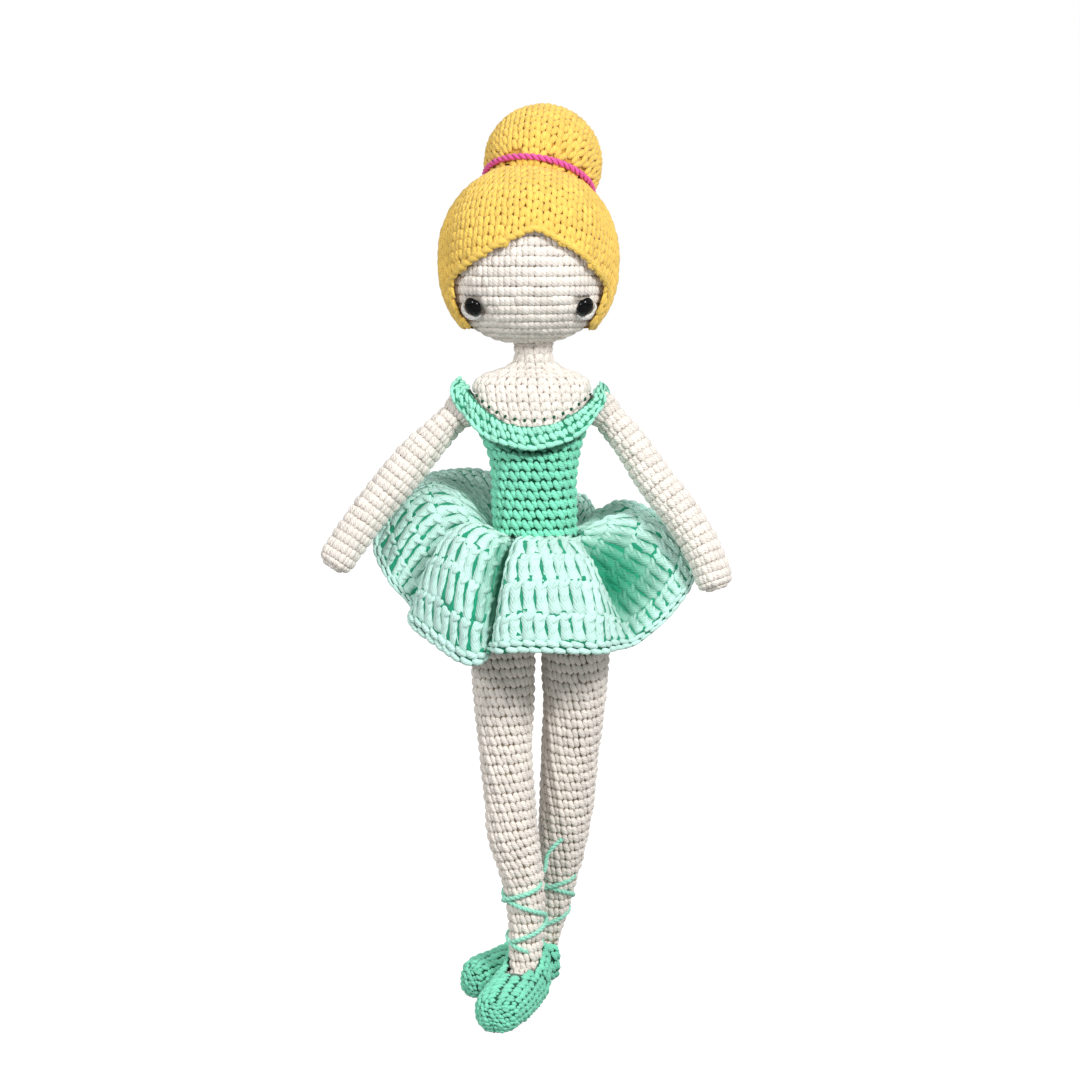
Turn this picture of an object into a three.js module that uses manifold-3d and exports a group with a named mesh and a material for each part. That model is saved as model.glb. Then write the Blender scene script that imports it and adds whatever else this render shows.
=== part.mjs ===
// A crocheted ballerina doll: stuffed yarn shells for the head, torso, arms and legs, a golden hair
// cap with a stuffed bun, safety eyes, and a mint dress with a frill, a folded skirt and slippers.
// Millimetres, +Z up, the face looks along -Y, and the soles stand on Z = 0.
import * as THREE from 'three';
import { mergeVertices } from 'three/addons/utils/BufferGeometryUtils.js';
import Module from 'manifold-3d';

const wasm = await Module();
wasm.setup();

// Yarn work shared by every piece
const wall = 2.2;
const clearance = 0.35;
const overrun = 4;
const seamYarnRadius = 0.7;
const flatCut = 0.5;

// Legs and feet: the hip axis stands at hipHeight above the floor
const hipHeight = 166;
const thighRadius = 14;
const hipDomeRadius = 12.6;
const ankleHeight = 20;
const footLength = 51;
const footHalfWidth = 7.4;
const footHeight = 15.5;

// Torso, from the bottom of the hips to the top of the neck
const torsoBottom = 173;
const torsoHeight = 100.2;
const torsoHalfWidth = 25.5;
const torsoHalfDepth = 16;
const dowelRadius = 3;
const dowelLength = 92;

// Arms: the shoulder axis stands at shoulderHeight above the floor
const shoulderHeight = 247;
const shoulderSpread = 28.2;
const shoulderDomeRadius = 7.5;
const armLength = 83;
const armRadius = 8.2;

// Head, hair and bun
const headRadius = 33.7;
const headHalfHeight = 34.8;
const hairThickness = 2.6;
const bunRadius = 24.1;
const tieRadius = 1.2;

// Safety eyes
const eyeRadius = 4;
const eyeHeight = 3.1;
const stemRadius = 1.3;
const washerRadius = 4.3;
const washerThickness = 1.1;
const whiteThickness = 0.8;

// Dress and slippers
const waistHeight = 197;
const skirtReach = 67;
const skirtDrop = 50;
const skirtThickness = 2.6;
const frillWidth = 9.6;
const frillThickness = 2.2;
const necklineDip = 14.5;
const slipperOpeningLength = 30;
const slipperOpeningWidth = 13;
const slipperTopHeight = 17.5;
const laceRadius = 0.7;
const lacePitch = 18;
const laceTail = 21;

// Moves the finished doll so that the middle of its box is at X = 0 and Y = 0
const shiftX = 3.56;
const shiftY = 2.14;

// Facets
const roundSteps = 20;
const headRings = 11;
const headFillSteps = 14;
const headFillRings = 8;
const domeExtraSteps = 4;
const torsoSteps = 18;
const torsoRings = 15;
const cavitySteps = 12;
const cavityRings = 8;
const limbSteps = 12;
const pocketSteps = limbSteps + domeExtraSteps;
const armRings = 9;
const legRings = 10;
const footRings = 8;
const limbFillSteps = 8;
const limbFillRings = 6;
const skirtSteps = 54;
const skirtRows = 5;
const frillSteps = 40;
const frillRows = 2;
const seamSteps = 12;
const seamSides = 5;
const cordSides = 8;
const laceStepsPerTurn = 10;
const rodSteps = 12;
const openingSteps = 8;
const eyeDomeSteps = 4;
const eyeWhiteSteps = 9;
const necklineSteps = 16;

// Rows: height up the torso, half width, half depth, sideways shift of the half width
const torsoShares = [
  [0, 0.86, 0.74, 0.08],
  [0.025, 0.95, 0.9, 0.076],
  [0.06, 0.97, 0.98, 0.066],
  [0.154, 0.74, 0.9, 0.03],
  [0.24, 0.585, 0.84, 0],
  [0.339, 0.575, 0.82, -0.01],
  [0.443, 0.575, 0.82, -0.018],
  [0.548, 0.62, 0.85, -0.02],
  [0.629, 0.73, 0.875, -0.04],
  [0.698, 0.865, 0.875, -0.05],
  [0.768, 0.935, 0.815, -0.055],
  [0.82, 0.94, 0.73, -0.055],
  [0.855, 0.9, 0.63, -0.055],
  [0.884, 0.73, 0.56, -0.047],
  [0.907, 0.47, 0.5, -0.035],
  [0.936, 0.32, 0.49, -0.026],
  [1, 0.298, 0.475, -0.026],
];

// Rows: way along the arm, outward, forward, downward, radius; lengths as shares of the arm's
const armShares = {
  right: [
    [0, 0, 0, 0, 0.77],
    [0.15, 0.107, 0.025, 0.106, 0.8],
    [0.31, 0.21, 0.05, 0.213, 0.97],
    [0.53, 0.35, 0.085, 0.376, 1],
    [0.67, 0.443, 0.11, 0.486, 0.95],
    [0.85, 0.555, 0.145, 0.639, 0.93],
    [1, 0.642, 0.17, 0.768, 0.9],
  ],
  left: [
    [0, 0, 0, 0, 0.77],
    [0.2, 0.14, 0.035, 0.163, 0.86],
    [0.42, 0.261, 0.072, 0.341, 0.95],
    [0.6, 0.373, 0.108, 0.484, 0.97],
    [0.8, 0.486, 0.145, 0.658, 0.95],
    [0.92, 0.543, 0.169, 0.793, 0.92],
    [1, 0.559, 0.181, 0.875, 0.9],
  ],
};

// Rows: way down from the hip, sideways, backward, radius; lengths as shares of the hip's height
const legShares = {
  right: [
    [0, -0.082, 0, 0.93],
    [0.14, -0.08, -0.01, 0.94],
    [0.235, -0.077, -0.017, 0.88],
    [0.3, -0.076, -0.022, 0.83],
    [0.38, -0.072, -0.028, 0.77],
    [0.48, -0.063, -0.035, 0.75],
    [0.57, -0.055, -0.042, 0.75],
    [0.64, -0.039, -0.047, 0.67],
    [0.7, -0.028, -0.051, 0.61],
    [0.76, -0.023, -0.055, 0.55],
    [0.82, -0.023, -0.059, 0.51],
    [0.9, -0.023, -0.064, 0.5],
  ],
  left: [
    [0, 0.1, 0, 0.96],
    [0.13, 0.1, 0.018, 1],
    [0.245, 0.098, 0.036, 0.92],
    [0.33, 0.092, 0.05, 0.88],
    [0.38, 0.087, 0.06, 0.85],
    [0.5, 0.081, 0.083, 0.82],
    [0.63, 0.068, 0.107, 0.72],
    [0.74, 0.055, 0.13, 0.56],
    [0.8, 0.044, 0.142, 0.5],
    [0.86, 0.028, 0.153, 0.5],
    [0.9, 0.017, 0.158, 0.5],
  ],
};
const footTurn = { right: 18, left: 50 };

// Rows: way along the foot from the ankle, half width, height
const footShares = [
  [-0.17, 0.45, 0.62],
  [-0.15, 0.66, 0.84],
  [-0.11, 0.82, 0.97],
  [-0.03, 0.9, 1],
  [0.08, 0.92, 0.98],
  [0.22, 0.96, 0.9],
  [0.38, 1, 0.78],
  [0.54, 1, 0.7],
  [0.66, 0.93, 0.64],
  [0.73, 0.8, 0.57],
  [0.77, 0.5, 0.42],
];

// Rows round the hem from the middle of the front towards the doll's right: sideways and forward
// shares of the reach, height below the waist as a share of the drop, and how far the sheet tucks in
// half way down, or puffs out where that is negative
const skirtShares = [
  [0.04, -0.7, 0.85, -0.02],
  [-0.1, -0.7, 0.85, -0.02],
  [-0.21, -0.685, 0.86, 0.01],
  [-0.27, -0.56, 0.87, 0.16],
  [-0.32, -0.59, 0.97, 0.02],
  [-0.44, -0.57, 0.96, -0.06],
  [-0.6, -0.45, 0.84, -0.09],
  [-0.74, -0.31, 0.72, -0.02],
  [-0.76, -0.15, 0.6, 0.18],
  [-0.89, -0.06, 0.41, -0.02],
  [-0.985, 0.06, 0.13, -0.09],
  [-0.88, 0.23, -0.17, -0.08],
  [-0.69, 0.38, -0.36, -0.03],
  [-0.51, 0.57, -0.4, 0],
  [-0.3, 0.69, -0.36, 0.02],
  [-0.09, 0.63, -0.16, 0.1],
  [0.12, 0.72, -0.12, 0],
  [0.3, 0.69, -0.17, 0],
  [0.4, 0.5, -0.08, 0.1],
  [0.54, 0.36, -0.17, 0],
  [0.72, 0.23, -0.12, 0],
  [0.88, 0.09, 0.11, -0.06],
  [0.965, -0.06, 0.36, -0.05],
  [0.84, -0.24, 0.62, 0.08],
  [0.62, -0.42, 0.84, 0.14],
  [0.47, -0.55, 0.87, 0.03],
  [0.39, -0.66, 0.87, -0.01],
  [0.22, -0.7, 0.86, -0.02],
];

// Rows round the neckline in turns from the middle of the front: outward, upward, width
const frillShares = [
  [0, 0.22, -0.97, 1],
  [0.05, 0.42, -0.9, 0.95],
  [0.1, 0.25, -0.96, 1],
  [0.16, 0.5, -0.86, 0.85],
  [0.2, 0.85, -0.35, 0.72],
  [0.235, 0.86, 0.5, 0.7],
  [0.265, 0.85, 0.5, 0.66],
  [0.3, 0.85, -0.3, 0.72],
  [0.36, 0.4, -0.9, 0.9],
  [0.43, 0.25, -0.96, 0.95],
  [0.5, 0.4, -0.9, 1],
  [0.57, 0.25, -0.96, 0.95],
  [0.64, 0.4, -0.9, 0.9],
  [0.7, 0.8, -0.3, 0.7],
  [0.735, 0.6, 0.8, 0.6],
  [0.765, 0.6, 0.8, 0.62],
  [0.8, 0.8, 0.05, 0.62],
  [0.84, 0.62, -0.75, 0.76],
  [0.9, 0.25, -0.96, 0.95],
  [0.95, 0.35, -0.93, 0.95],
  [1, 0.22, -0.97, 1],
];

// The face's edge in the hair: sideways and upward shares of the head's radius from its centre
const hairlineShares = [
  [0.09, 0.362],
  [-0.2, 0.24],
  [-0.447, 0.104],
  [-0.7, -0.06],
  [-0.88, -0.22],
  [-0.9, -0.4],
  [-0.83, -0.6],
  [-0.7, -0.84],
  [-0.7, -1.2],
  [0.72, -1.2],
  [0.74, -0.84],
  [0.86, -0.6],
  [0.92, -0.42],
  [0.89, -0.28],
  [0.7, -0.02],
  [0.488, 0.14],
  [0.28, 0.25],
];
const hairBottomShare = -0.83;
const bunPlaceShares = [0.174, 0.475, 1.125];
const tieAxisShares = [0.15, 0.47, 0.88];
const tieDropShare = 0.29;
const eyePlaceShares = { right: -0.637, left: 0.655 };
const eyeHeightShare = -0.552;

const sideSigns = { right: -1, left: 1 };
const degrees = Math.PI / 180;

// Reads the columns of a table at a value of its first column, as a smooth curve through its rows
function readTable(table, at) {
  const last = table.length - 1;
  let row = 0;
  while (row < last - 1 && at > table[row + 1][0]) row += 1;
  const before = table[Math.max(row - 1, 0)];
  const start = table[row];
  const end = table[row + 1];
  const after = table[Math.min(row + 2, last)];
  const span = end[0] - start[0];
  const t = THREE.MathUtils.clamp((at - start[0]) / span, 0, 1);
  return start.slice(1).map((value, column) => {
    const index = column + 1;
    const slopeIn = (end[index] - before[index]) / (end[0] - before[0]);
    const slopeOut = (after[index] - start[index]) / (after[0] - start[0]);
    const square = t * t;
    const cube = square * t;
    return (2 * cube - 3 * square + 1) * value + (cube - 2 * square + t) * span * slopeIn
      + (3 * square - 2 * cube) * end[index] + (cube - square) * span * slopeOut;
  });
}

// A closed body through rings of points: capped at both ends, or joined end to end
function skin(rings, joined = false) {
  const points = rings[0].length;
  const positions = [];
  const index = [];
  rings.forEach((ring) => ring.forEach((point) => positions.push(point.x, point.y, point.z)));
  const bands = joined ? rings.length : rings.length - 1;
  for (let i = 0; i < bands; i += 1) {
    const next = (i + 1) % rings.length;
    for (let j = 0; j < points; j += 1) {
      const a = i * points + j;
      const b = i * points + (j + 1) % points;
      const c = next * points + (j + 1) % points;
      const d = next * points + j;
      index.push(a, b, c, a, c, d);
    }
  }
  if (!joined) {
    [0, rings.length - 1].forEach((end) => {
      const middle = new THREE.Vector3();
      rings[end].forEach((point) => middle.addScaledVector(point, 1 / points));
      const centre = positions.length / 3;
      positions.push(middle.x, middle.y, middle.z);
      for (let j = 0; j < points; j += 1) {
        const a = end * points + j;
        const b = end * points + (j + 1) % points;
        if (end === 0) index.push(b, a, centre);
        else index.push(a, b, centre);
      }
    });
  }
  const geometry = new THREE.BufferGeometry();
  geometry.setAttribute('position', new THREE.Float32BufferAttribute(positions, 3));
  geometry.setIndex(index);
  return facedOut(geometry);
}

// Turns every triangle over when a closed body encloses a negative volume
function facedOut(geometry) {
  const place = geometry.attributes.position;
  const index = geometry.index.array;
  const corner = [new THREE.Vector3(), new THREE.Vector3(), new THREE.Vector3()];
  let volume = 0;
  for (let i = 0; i < index.length; i += 3) {
    corner.forEach((point, k) => point.fromBufferAttribute(place, index[i + k]));
    volume += corner[0].dot(corner[1].clone().cross(corner[2]));
  }
  if (volume < 0) {
    for (let i = 0; i < index.length; i += 3) {
      const kept = index[i + 1];
      index[i + 1] = index[i + 2];
      index[i + 2] = kept;
    }
  }
  return geometry;
}

// A geometry as a solid that can be joined and cut
function solid(geometry) {
  const bare = geometry.clone();
  bare.deleteAttribute('normal');
  bare.deleteAttribute('uv');
  const merged = facedOut(mergeVertices(bare));
  return new wasm.Manifold(new wasm.Mesh({
    numProp: 3,
    vertProperties: merged.attributes.position.array,
    triVerts: new Uint32Array(merged.index.array),
  }));
}

// A solid as a geometry
function geometryOf(body) {
  const mesh = body.getMesh();
  const geometry = new THREE.BufferGeometry();
  geometry.setAttribute('position', new THREE.Float32BufferAttribute(mesh.vertProperties, 3));
  geometry.setIndex(Array.from(mesh.triVerts));
  return geometry;
}

function ball(centre, radius, steps = roundSteps) {
  const geometry = new THREE.SphereGeometry(radius, steps, Math.ceil(steps / 2));
  geometry.translate(centre.x, centre.y, centre.z);
  return solid(geometry);
}

function rod(from, to, radius, steps = rodSteps) {
  const along = to.clone().sub(from);
  const geometry = new THREE.CylinderGeometry(radius, radius, along.length(), steps);
  const turn = new THREE.Quaternion().setFromUnitVectors(new THREE.Vector3(0, 1, 0), along.normalize());
  geometry.applyQuaternion(turn);
  const middle = from.clone().add(to).multiplyScalar(0.5);
  geometry.translate(middle.x, middle.y, middle.z);
  return solid(geometry);
}

// A profile of (radius, height) points turned round an axis
function turned(profile, steps, centre, axis = new THREE.Vector3(0, 0, 1)) {
  const geometry = new THREE.LatheGeometry(profile, steps);
  geometry.applyQuaternion(new THREE.Quaternion().setFromUnitVectors(new THREE.Vector3(0, 1, 0), axis));
  geometry.translate(centre.x, centre.y, centre.z);
  return solid(geometry);
}

function torus(centre, axis, ringRadius, tubeRadius, steps, sides) {
  const geometry = new THREE.TorusGeometry(ringRadius, tubeRadius, sides, steps);
  geometry.applyQuaternion(new THREE.Quaternion().setFromUnitVectors(new THREE.Vector3(0, 0, 1), axis));
  geometry.translate(centre.x, centre.y, centre.z);
  return solid(geometry);
}

// One ring of a body section: a rounded box that leans towards an ellipse
function sectionRing(centre, across, forward, halfWidth, halfDepth, steps, squareness, phase = 0) {
  return Array.from({ length: steps }, (unused, k) => {
    const angle = ((k + phase) / steps) * 2 * Math.PI;
    const cosine = Math.cos(angle);
    const sine = Math.sin(angle);
    const wide = halfWidth * Math.sign(cosine) * Math.abs(cosine) ** (2 / squareness);
    const deep = halfDepth * Math.sign(sine) * Math.abs(sine) ** (2 / squareness);
    return centre.clone().addScaledVector(across, wide).addScaledVector(forward, deep);
  });
}

// Torso and what is measured from it
const torsoSquareness = 2.25;
const upperShare = 0.65;
const lowerShare = 0.04;
const cavityShare = 0.1;
const dowelUpShare = 0.43;

function torsoAt(share) {
  const [wide, deep, shift] = readTable(torsoShares, share);
  return {
    x: shift * torsoHalfWidth,
    z: torsoBottom + share * torsoHeight,
    halfWidth: wide * torsoHalfWidth,
    halfDepth: deep * torsoHalfDepth,
  };
}

// The torso's outer surface grown by a distance, between two shares of its height
function torsoBody(grow, from, to, steps, rings, topOver = 0) {
  const across = new THREE.Vector3(1, 0, 0);
  const forward = new THREE.Vector3(0, 1, 0);
  const loops = Array.from({ length: rings + 1 }, (unused, k) => {
    const share = from + (to - from) * (k / rings);
    const here = torsoAt(share);
    const lift = share > upperShare ? grow * Math.min((share - upperShare) / (1 - upperShare) * 2, 1) : 0;
    const sink = share < lowerShare ? grow * (1 - share / lowerShare) : 0;
    const centre = new THREE.Vector3(here.x, 0, here.z + lift - sink + (k === rings ? topOver : 0));
    return sectionRing(centre, across, forward, here.halfWidth + grow, here.halfDepth + grow,
      steps, torsoSquareness);
  });
  return solid(skin(loops));
}

const neckTop = torsoBottom + torsoHeight;
const neckX = torsoAt(1).x;
const shoulderX = torsoAt((shoulderHeight - torsoBottom) / torsoHeight).x;
const shoulders = {};
const hips = {};
Object.entries(sideSigns).forEach(([side, sign]) => {
  shoulders[side] = new THREE.Vector3(shoulderX + sign * shoulderSpread, 0, shoulderHeight);
  hips[side] = new THREE.Vector3(legShares[side][0][1] * hipHeight, 0, hipHeight);
});

// A limb along its table of stations, grown by a distance, with its far end rounded
const limbReachShare = 0.93;
const limbOpeningShare = 0.45;
const tipRoundShare = 0.75;
const tipShares = [0.45, 0.75, 0.93];
const tipSquareness = 2.6;

function limbBody(stationAt, rings, grow, steps, endRound) {
  const forward = new THREE.Vector3(0, 1, 0);
  const stations = Array.from({ length: rings + 1 }, (unused, k) => stationAt(k / rings));
  const loops = stations.map((station, k) => {
    const ahead = stations[Math.min(k + 1, rings)].centre;
    const behind = stations[Math.max(k - 1, 0)].centre;
    const along = ahead.clone().sub(behind).normalize();
    const across = forward.clone().cross(along).normalize();
    const deep = along.clone().cross(across);
    const radius = station.radius + grow;
    return sectionRing(station.centre, across, deep, radius, radius, steps, 2);
  });
  if (endRound > 0) {
    const tip = stations[rings];
    const along = tip.centre.clone().sub(stations[rings - 1].centre).normalize();
    const across = forward.clone().cross(along).normalize();
    const deep = along.clone().cross(across);
    tipShares.forEach((share) => {
      const centre = tip.centre.clone().addScaledVector(along, (endRound + grow) * share);
      const radius = (tip.radius + grow) * Math.sqrt(1 - share ** tipSquareness);
      loops.push(sectionRing(centre, across, deep, radius, radius, steps, 2));
    });
  }
  return solid(skin(loops));
}

function armStation(side, share) {
  const [out, ahead, down, radius] = readTable(armShares[side], share);
  const reach = new THREE.Vector3(sideSigns[side] * out, -ahead, -down).multiplyScalar(armLength);
  return { centre: shoulders[side].clone().add(reach), radius: radius * armRadius };
}

function armBody(side, grow, steps, rings) {
  const endRound = armRadius * tipRoundShare;
  const limb = limbBody((k) => armStation(side, k * limbReachShare), rings, grow, steps, endRound);
  return ball(shoulders[side], shoulderDomeRadius + grow, steps + domeExtraSteps).add(limb);
}

function legStation(side, share) {
  const [aside, back, radius] = readTable(legShares[side], share);
  const place = new THREE.Vector3(aside, back, 1 - share).multiplyScalar(hipHeight);
  return { centre: place, radius: radius * thighRadius };
}

const ankles = {};
Object.keys(sideSigns).forEach((side) => {
  ankles[side] = legStation(side, 1 - ankleHeight / hipHeight).centre;
});

// The foot lies on the slipper's sole and points forward, turned towards the doll's right. Its rings
// are turned half a step, so that an edge and not a corner lies lowest
const footSquareness = 2.6;
const halfStep = 0.5;

function footAxes(side) {
  const turn = footTurn[side] * degrees;
  const along = new THREE.Vector3(-Math.sin(turn), -Math.cos(turn), 0);
  const across = new THREE.Vector3(0, 0, 1).cross(along);
  return { along, across };
}

function footBody(side, grow, steps, rings) {
  const { along, across } = footAxes(side);
  const first = footShares[0][0];
  const last = footShares[footShares.length - 1][0];
  const up = new THREE.Vector3(0, 0, 1);
  const soleHeight = wall + clearance;
  const loops = Array.from({ length: rings + 1 }, (unused, k) => {
    const share = first + (last - first) * (k / rings);
    const [wide, high] = readTable(footShares, share);
    const end = k === 0 ? -grow : grow * (k === rings);
    const centre = new THREE.Vector3(ankles[side].x, ankles[side].y, soleHeight + high * footHeight / 2);
    centre.addScaledVector(along, share * footLength + end);
    return sectionRing(centre, across, up, wide * footHalfWidth + grow, high * footHeight / 2 + grow,
      steps, footSquareness, halfStep);
  });
  return solid(skin(loops));
}

function legBody(side, grow, steps, rings) {
  const limb = limbBody((k) => legStation(side, k * limbReachShare), rings, grow, steps, 0);
  return ball(hips[side], hipDomeRadius + grow, steps + domeExtraSteps)
    .add(limb)
    .add(footBody(side, grow, steps, footRings));
}

// Head: a ball with a flatter chin, as (radius, height) from its centre
const headShiftShare = -0.079;
const chinSquareness = 2.35;
const crownSquareness = 2.05;
const headCentre = new THREE.Vector3(headShiftShare * headRadius, 0, neckTop + clearance + headHalfHeight);

function headProfile(grow, rings) {
  return Array.from({ length: rings + 1 }, (unused, k) => {
    const angle = (k / rings - 0.5) * Math.PI;
    const squareness = angle < 0 ? chinSquareness : crownSquareness;
    const out = Math.abs(Math.cos(angle)) ** (2 / squareness);
    const up = Math.sign(angle) * Math.abs(Math.sin(angle)) ** (2 / squareness);
    const radius = k === 0 || k === rings ? 0 : (headRadius + grow) * out;
    return new THREE.Vector2(radius, (headHalfHeight + grow) * up);
  });
}

function headBody(grow, steps = roundSteps, rings = headRings) {
  return turned(headProfile(grow, rings), steps, headCentre);
}

// The head's outer surface at a height above its centre: radius there
function headRadiusAt(height, grow) {
  const squareness = height < 0 ? chinSquareness : crownSquareness;
  const share = Math.min(Math.abs(height) / (headHalfHeight + grow), 1);
  return (headRadius + grow) * (1 - share ** squareness) ** (1 / squareness);
}

const eyes = {};
Object.keys(sideSigns).forEach((side) => {
  const height = eyeHeightShare * headRadius;
  const radius = headRadiusAt(height, 0);
  const aside = eyePlaceShares[side] * headRadius;
  const place = new THREE.Vector3(aside, -Math.sqrt(radius ** 2 - aside ** 2), height);
  const rise = 2 * clearance;
  const slope = (headRadiusAt(height + clearance, 0) - headRadiusAt(height - clearance, 0)) / rise;
  const level = new THREE.Vector3(place.x, place.y, 0).normalize();
  eyes[side] = {
    centre: place.add(headCentre),
    axis: level.addScaledVector(new THREE.Vector3(0, 0, 1), -slope).normalize(),
  };
});

const colours = {
  cream: 0xe9e0cf,
  gold: 0xf0bf45,
  magenta: 0xe0408f,
  mint: 0x63cfa2,
  paleMint: 0x9fe6cd,
  white: 0xf4f2ee,
  black: 0x101012,
  wood: 0xc9a878,
  fill: 0xf7f7f4,
};
const doll = new THREE.Group();

function addNode(name, shape, colour, roughness = 0.9) {
  const geometry = shape.isBufferGeometry ? shape : geometryOf(shape);
  const material = new THREE.MeshStandardMaterial({ color: colour, roughness, metalness: 0 });
  const mesh = new THREE.Mesh(geometry, material);
  mesh.name = name;
  doll.add(mesh);
}

// Pockets of the ball joints, wide enough for a faceted ball to turn in a faceted pocket
const facetRoom = 1 / Math.cos(Math.PI / pocketSteps) ** 2;
const hipPocket = hipDomeRadius * facetRoom + clearance;
const shoulderPocket = shoulderDomeRadius * facetRoom + clearance;
const hipSeamReach = hipPocket + seamYarnRadius;
const shoulderSeamReach = shoulderPocket + seamYarnRadius;
const hipSeamDropShare = 0.8;
const shoulderSeamDropShare = 0.8;

// Ring of sewing yarn round a ball joint: circle on a sphere about the joint
function seamRing(joint, inward, reach, dropShare, tube) {
  const centre = joint.clone().addScaledVector(inward, reach * dropShare);
  return torus(centre, inward, reach * Math.sqrt(1 - dropShare ** 2), tube, seamSteps, seamSides);
}

function shoulderInward(side) {
  return new THREE.Vector3(-sideSigns[side], 0, 0);
}

function hipInward() {
  return new THREE.Vector3(0, 0, 1);
}

function addTorso() {
  let shell = torsoBody(0, 0, 1, torsoSteps, torsoRings);
  let cavity = torsoBody(-wall, cavityShare, 1, cavitySteps, cavityRings, overrun);
  const fillShare = cavityShare + clearance / torsoHeight;
  let fill = torsoBody(-wall - clearance, fillShare, 1, cavitySteps, cavityRings, -clearance);
  const grooves = seamYarnRadius + clearance;
  const behind = 2 * grooves + wall;
  Object.keys(sideSigns).forEach((side) => {
    shell = shell.subtract(ball(hips[side], hipPocket, pocketSteps))
      .subtract(ball(shoulders[side], shoulderPocket, pocketSteps))
      .subtract(seamRing(hips[side], hipInward(), hipSeamReach, hipSeamDropShare, grooves))
      .subtract(seamRing(shoulders[side], shoulderInward(side), shoulderSeamReach,
        shoulderSeamDropShare, grooves));
    cavity = cavity.subtract(ball(hips[side], hipPocket + behind, pocketSteps))
      .subtract(ball(shoulders[side], shoulderPocket + behind, pocketSteps));
    fill = fill.subtract(ball(hips[side], hipPocket + behind + clearance, pocketSteps))
      .subtract(ball(shoulders[side], shoulderPocket + behind + clearance, pocketSteps));
  });
  addNode('torso_shell', shell.subtract(cavity), colours.cream);
  const dowelTop = new THREE.Vector3(neckX, 0, neckTop + dowelLength * dowelUpShare);
  const dowelFoot = dowelTop.clone().setZ(dowelTop.z - dowelLength);
  const far = new THREE.Vector3(0, 0, overrun);
  const bore = rod(dowelFoot.clone().sub(far), dowelTop.clone().add(far), dowelRadius + clearance);
  addNode('torso_stuffing', fill.subtract(bore), colours.fill);
  addNode('neck_dowel', rod(dowelFoot, dowelTop, dowelRadius), colours.wood, 0.65);
  return { bore };
}

// The head's stuffing and the eyes' washers sit this far inside the shell
const liningGap = 3 * clearance;
const eyeRimShare = 0.94;

function addHead(bore) {
  const foot = new THREE.Vector3(neckX, 0, headCentre.z - headHalfHeight - overrun);
  const neckHole = rod(foot, foot.clone().setZ(headCentre.z - headHalfHeight / 2), dowelRadius + wall);
  const fillTop = headCentre.z - headHalfHeight + wall + clearance;
  const under = rod(foot, foot.clone().setZ(fillTop + clearance), headRadius);
  let shell = headBody(0).subtract(headBody(-wall)).subtract(neckHole);
  let fill = headBody(-wall - liningGap, headFillSteps, headFillRings).subtract(bore).subtract(under);
  Object.entries(eyes).forEach(([side, { centre, axis }]) => {
    const inward = (depth) => centre.clone().addScaledVector(axis, -depth);
    const seat = wall + liningGap;
    shell = shell.subtract(rod(inward(-overrun), inward(wall + overrun), stemRadius + clearance));
    fill = fill.subtract(rod(inward(0), inward(seat + washerThickness + overrun), washerRadius + clearance));
    const rim = 2 * clearance;
    const stemEnd = -(seat + washerThickness + rim);
    const dome = [
      [0, stemEnd], [stemRadius, stemEnd], [stemRadius, clearance], [eyeRadius * eyeRimShare, clearance],
    ];
    for (let k = 0; k <= eyeDomeSteps; k += 1) {
      const angle = (k / eyeDomeSteps) * Math.PI / 2;
      const radius = k === eyeDomeSteps ? 0 : eyeRadius * Math.cos(angle);
      dome.push([radius, rim + (eyeHeight - rim) * Math.sin(angle)]);
    }
    const profile = dome.map(([radius, height]) => new THREE.Vector2(radius, height));
    addNode(`eye_${side}`, turned(profile, seamSteps, centre, axis), colours.black, 0.08);
    const washer = [
      [stemRadius + clearance, -seat], [stemRadius + clearance, -seat - washerThickness],
      [washerRadius, -seat - washerThickness], [washerRadius, -seat], [stemRadius + clearance, -seat],
    ].map(([radius, height]) => new THREE.Vector2(radius, height));
    addNode(`eye_washer_${side}`, turned(washer, seamSteps, centre, axis), colours.white, 0.7);
    addNode(`eye_white_${side}`, eyeWhite(side), colours.white, 0.85);
  });
  addNode('head_shell', shell, colours.cream);
  addNode('head_stuffing', fill, colours.fill);
}

// White crescent that hugs the outer lower edge of an eye, laid on the head's surface
const whiteInnerShare = 1.13;
const whiteWidthShare = 0.42;
const whiteEndShare = 0.25;
const whiteRimShare = 0.6;
const whiteFirstDegrees = 15;
const whiteLastDegrees = -125;

function eyeWhite(side) {
  const { centre } = eyes[side];
  const inner = eyeRadius * whiteInnerShare;
  const onHead = (angle, radius, height) => {
    const across = centre.x - headCentre.x + sideSigns[side] * radius * Math.cos(angle);
    const up = centre.z - headCentre.z + radius * Math.sin(angle);
    const reach = headRadiusAt(up, 0) + height;
    const turn = Math.asin(THREE.MathUtils.clamp(across / reach, -1, 1));
    return new THREE.Vector3(reach * Math.sin(turn), -reach * Math.cos(turn), up).add(headCentre);
  };
  const loops = Array.from({ length: eyeWhiteSteps + 1 }, (unused, k) => {
    const share = k / eyeWhiteSteps;
    const angle = THREE.MathUtils.lerp(whiteFirstDegrees, whiteLastDegrees, share) * degrees;
    const swell = THREE.MathUtils.lerp(whiteEndShare, 1, Math.sin(share * Math.PI));
    const outer = inner + eyeRadius * whiteWidthShare * swell;
    return [
      onHead(angle, inner, clearance),
      onHead(angle, outer, clearance),
      onHead(angle, outer, clearance + whiteThickness * whiteRimShare),
      onHead(angle, inner, clearance + whiteThickness),
    ];
  });
  return solid(skin(loops));
}

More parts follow.
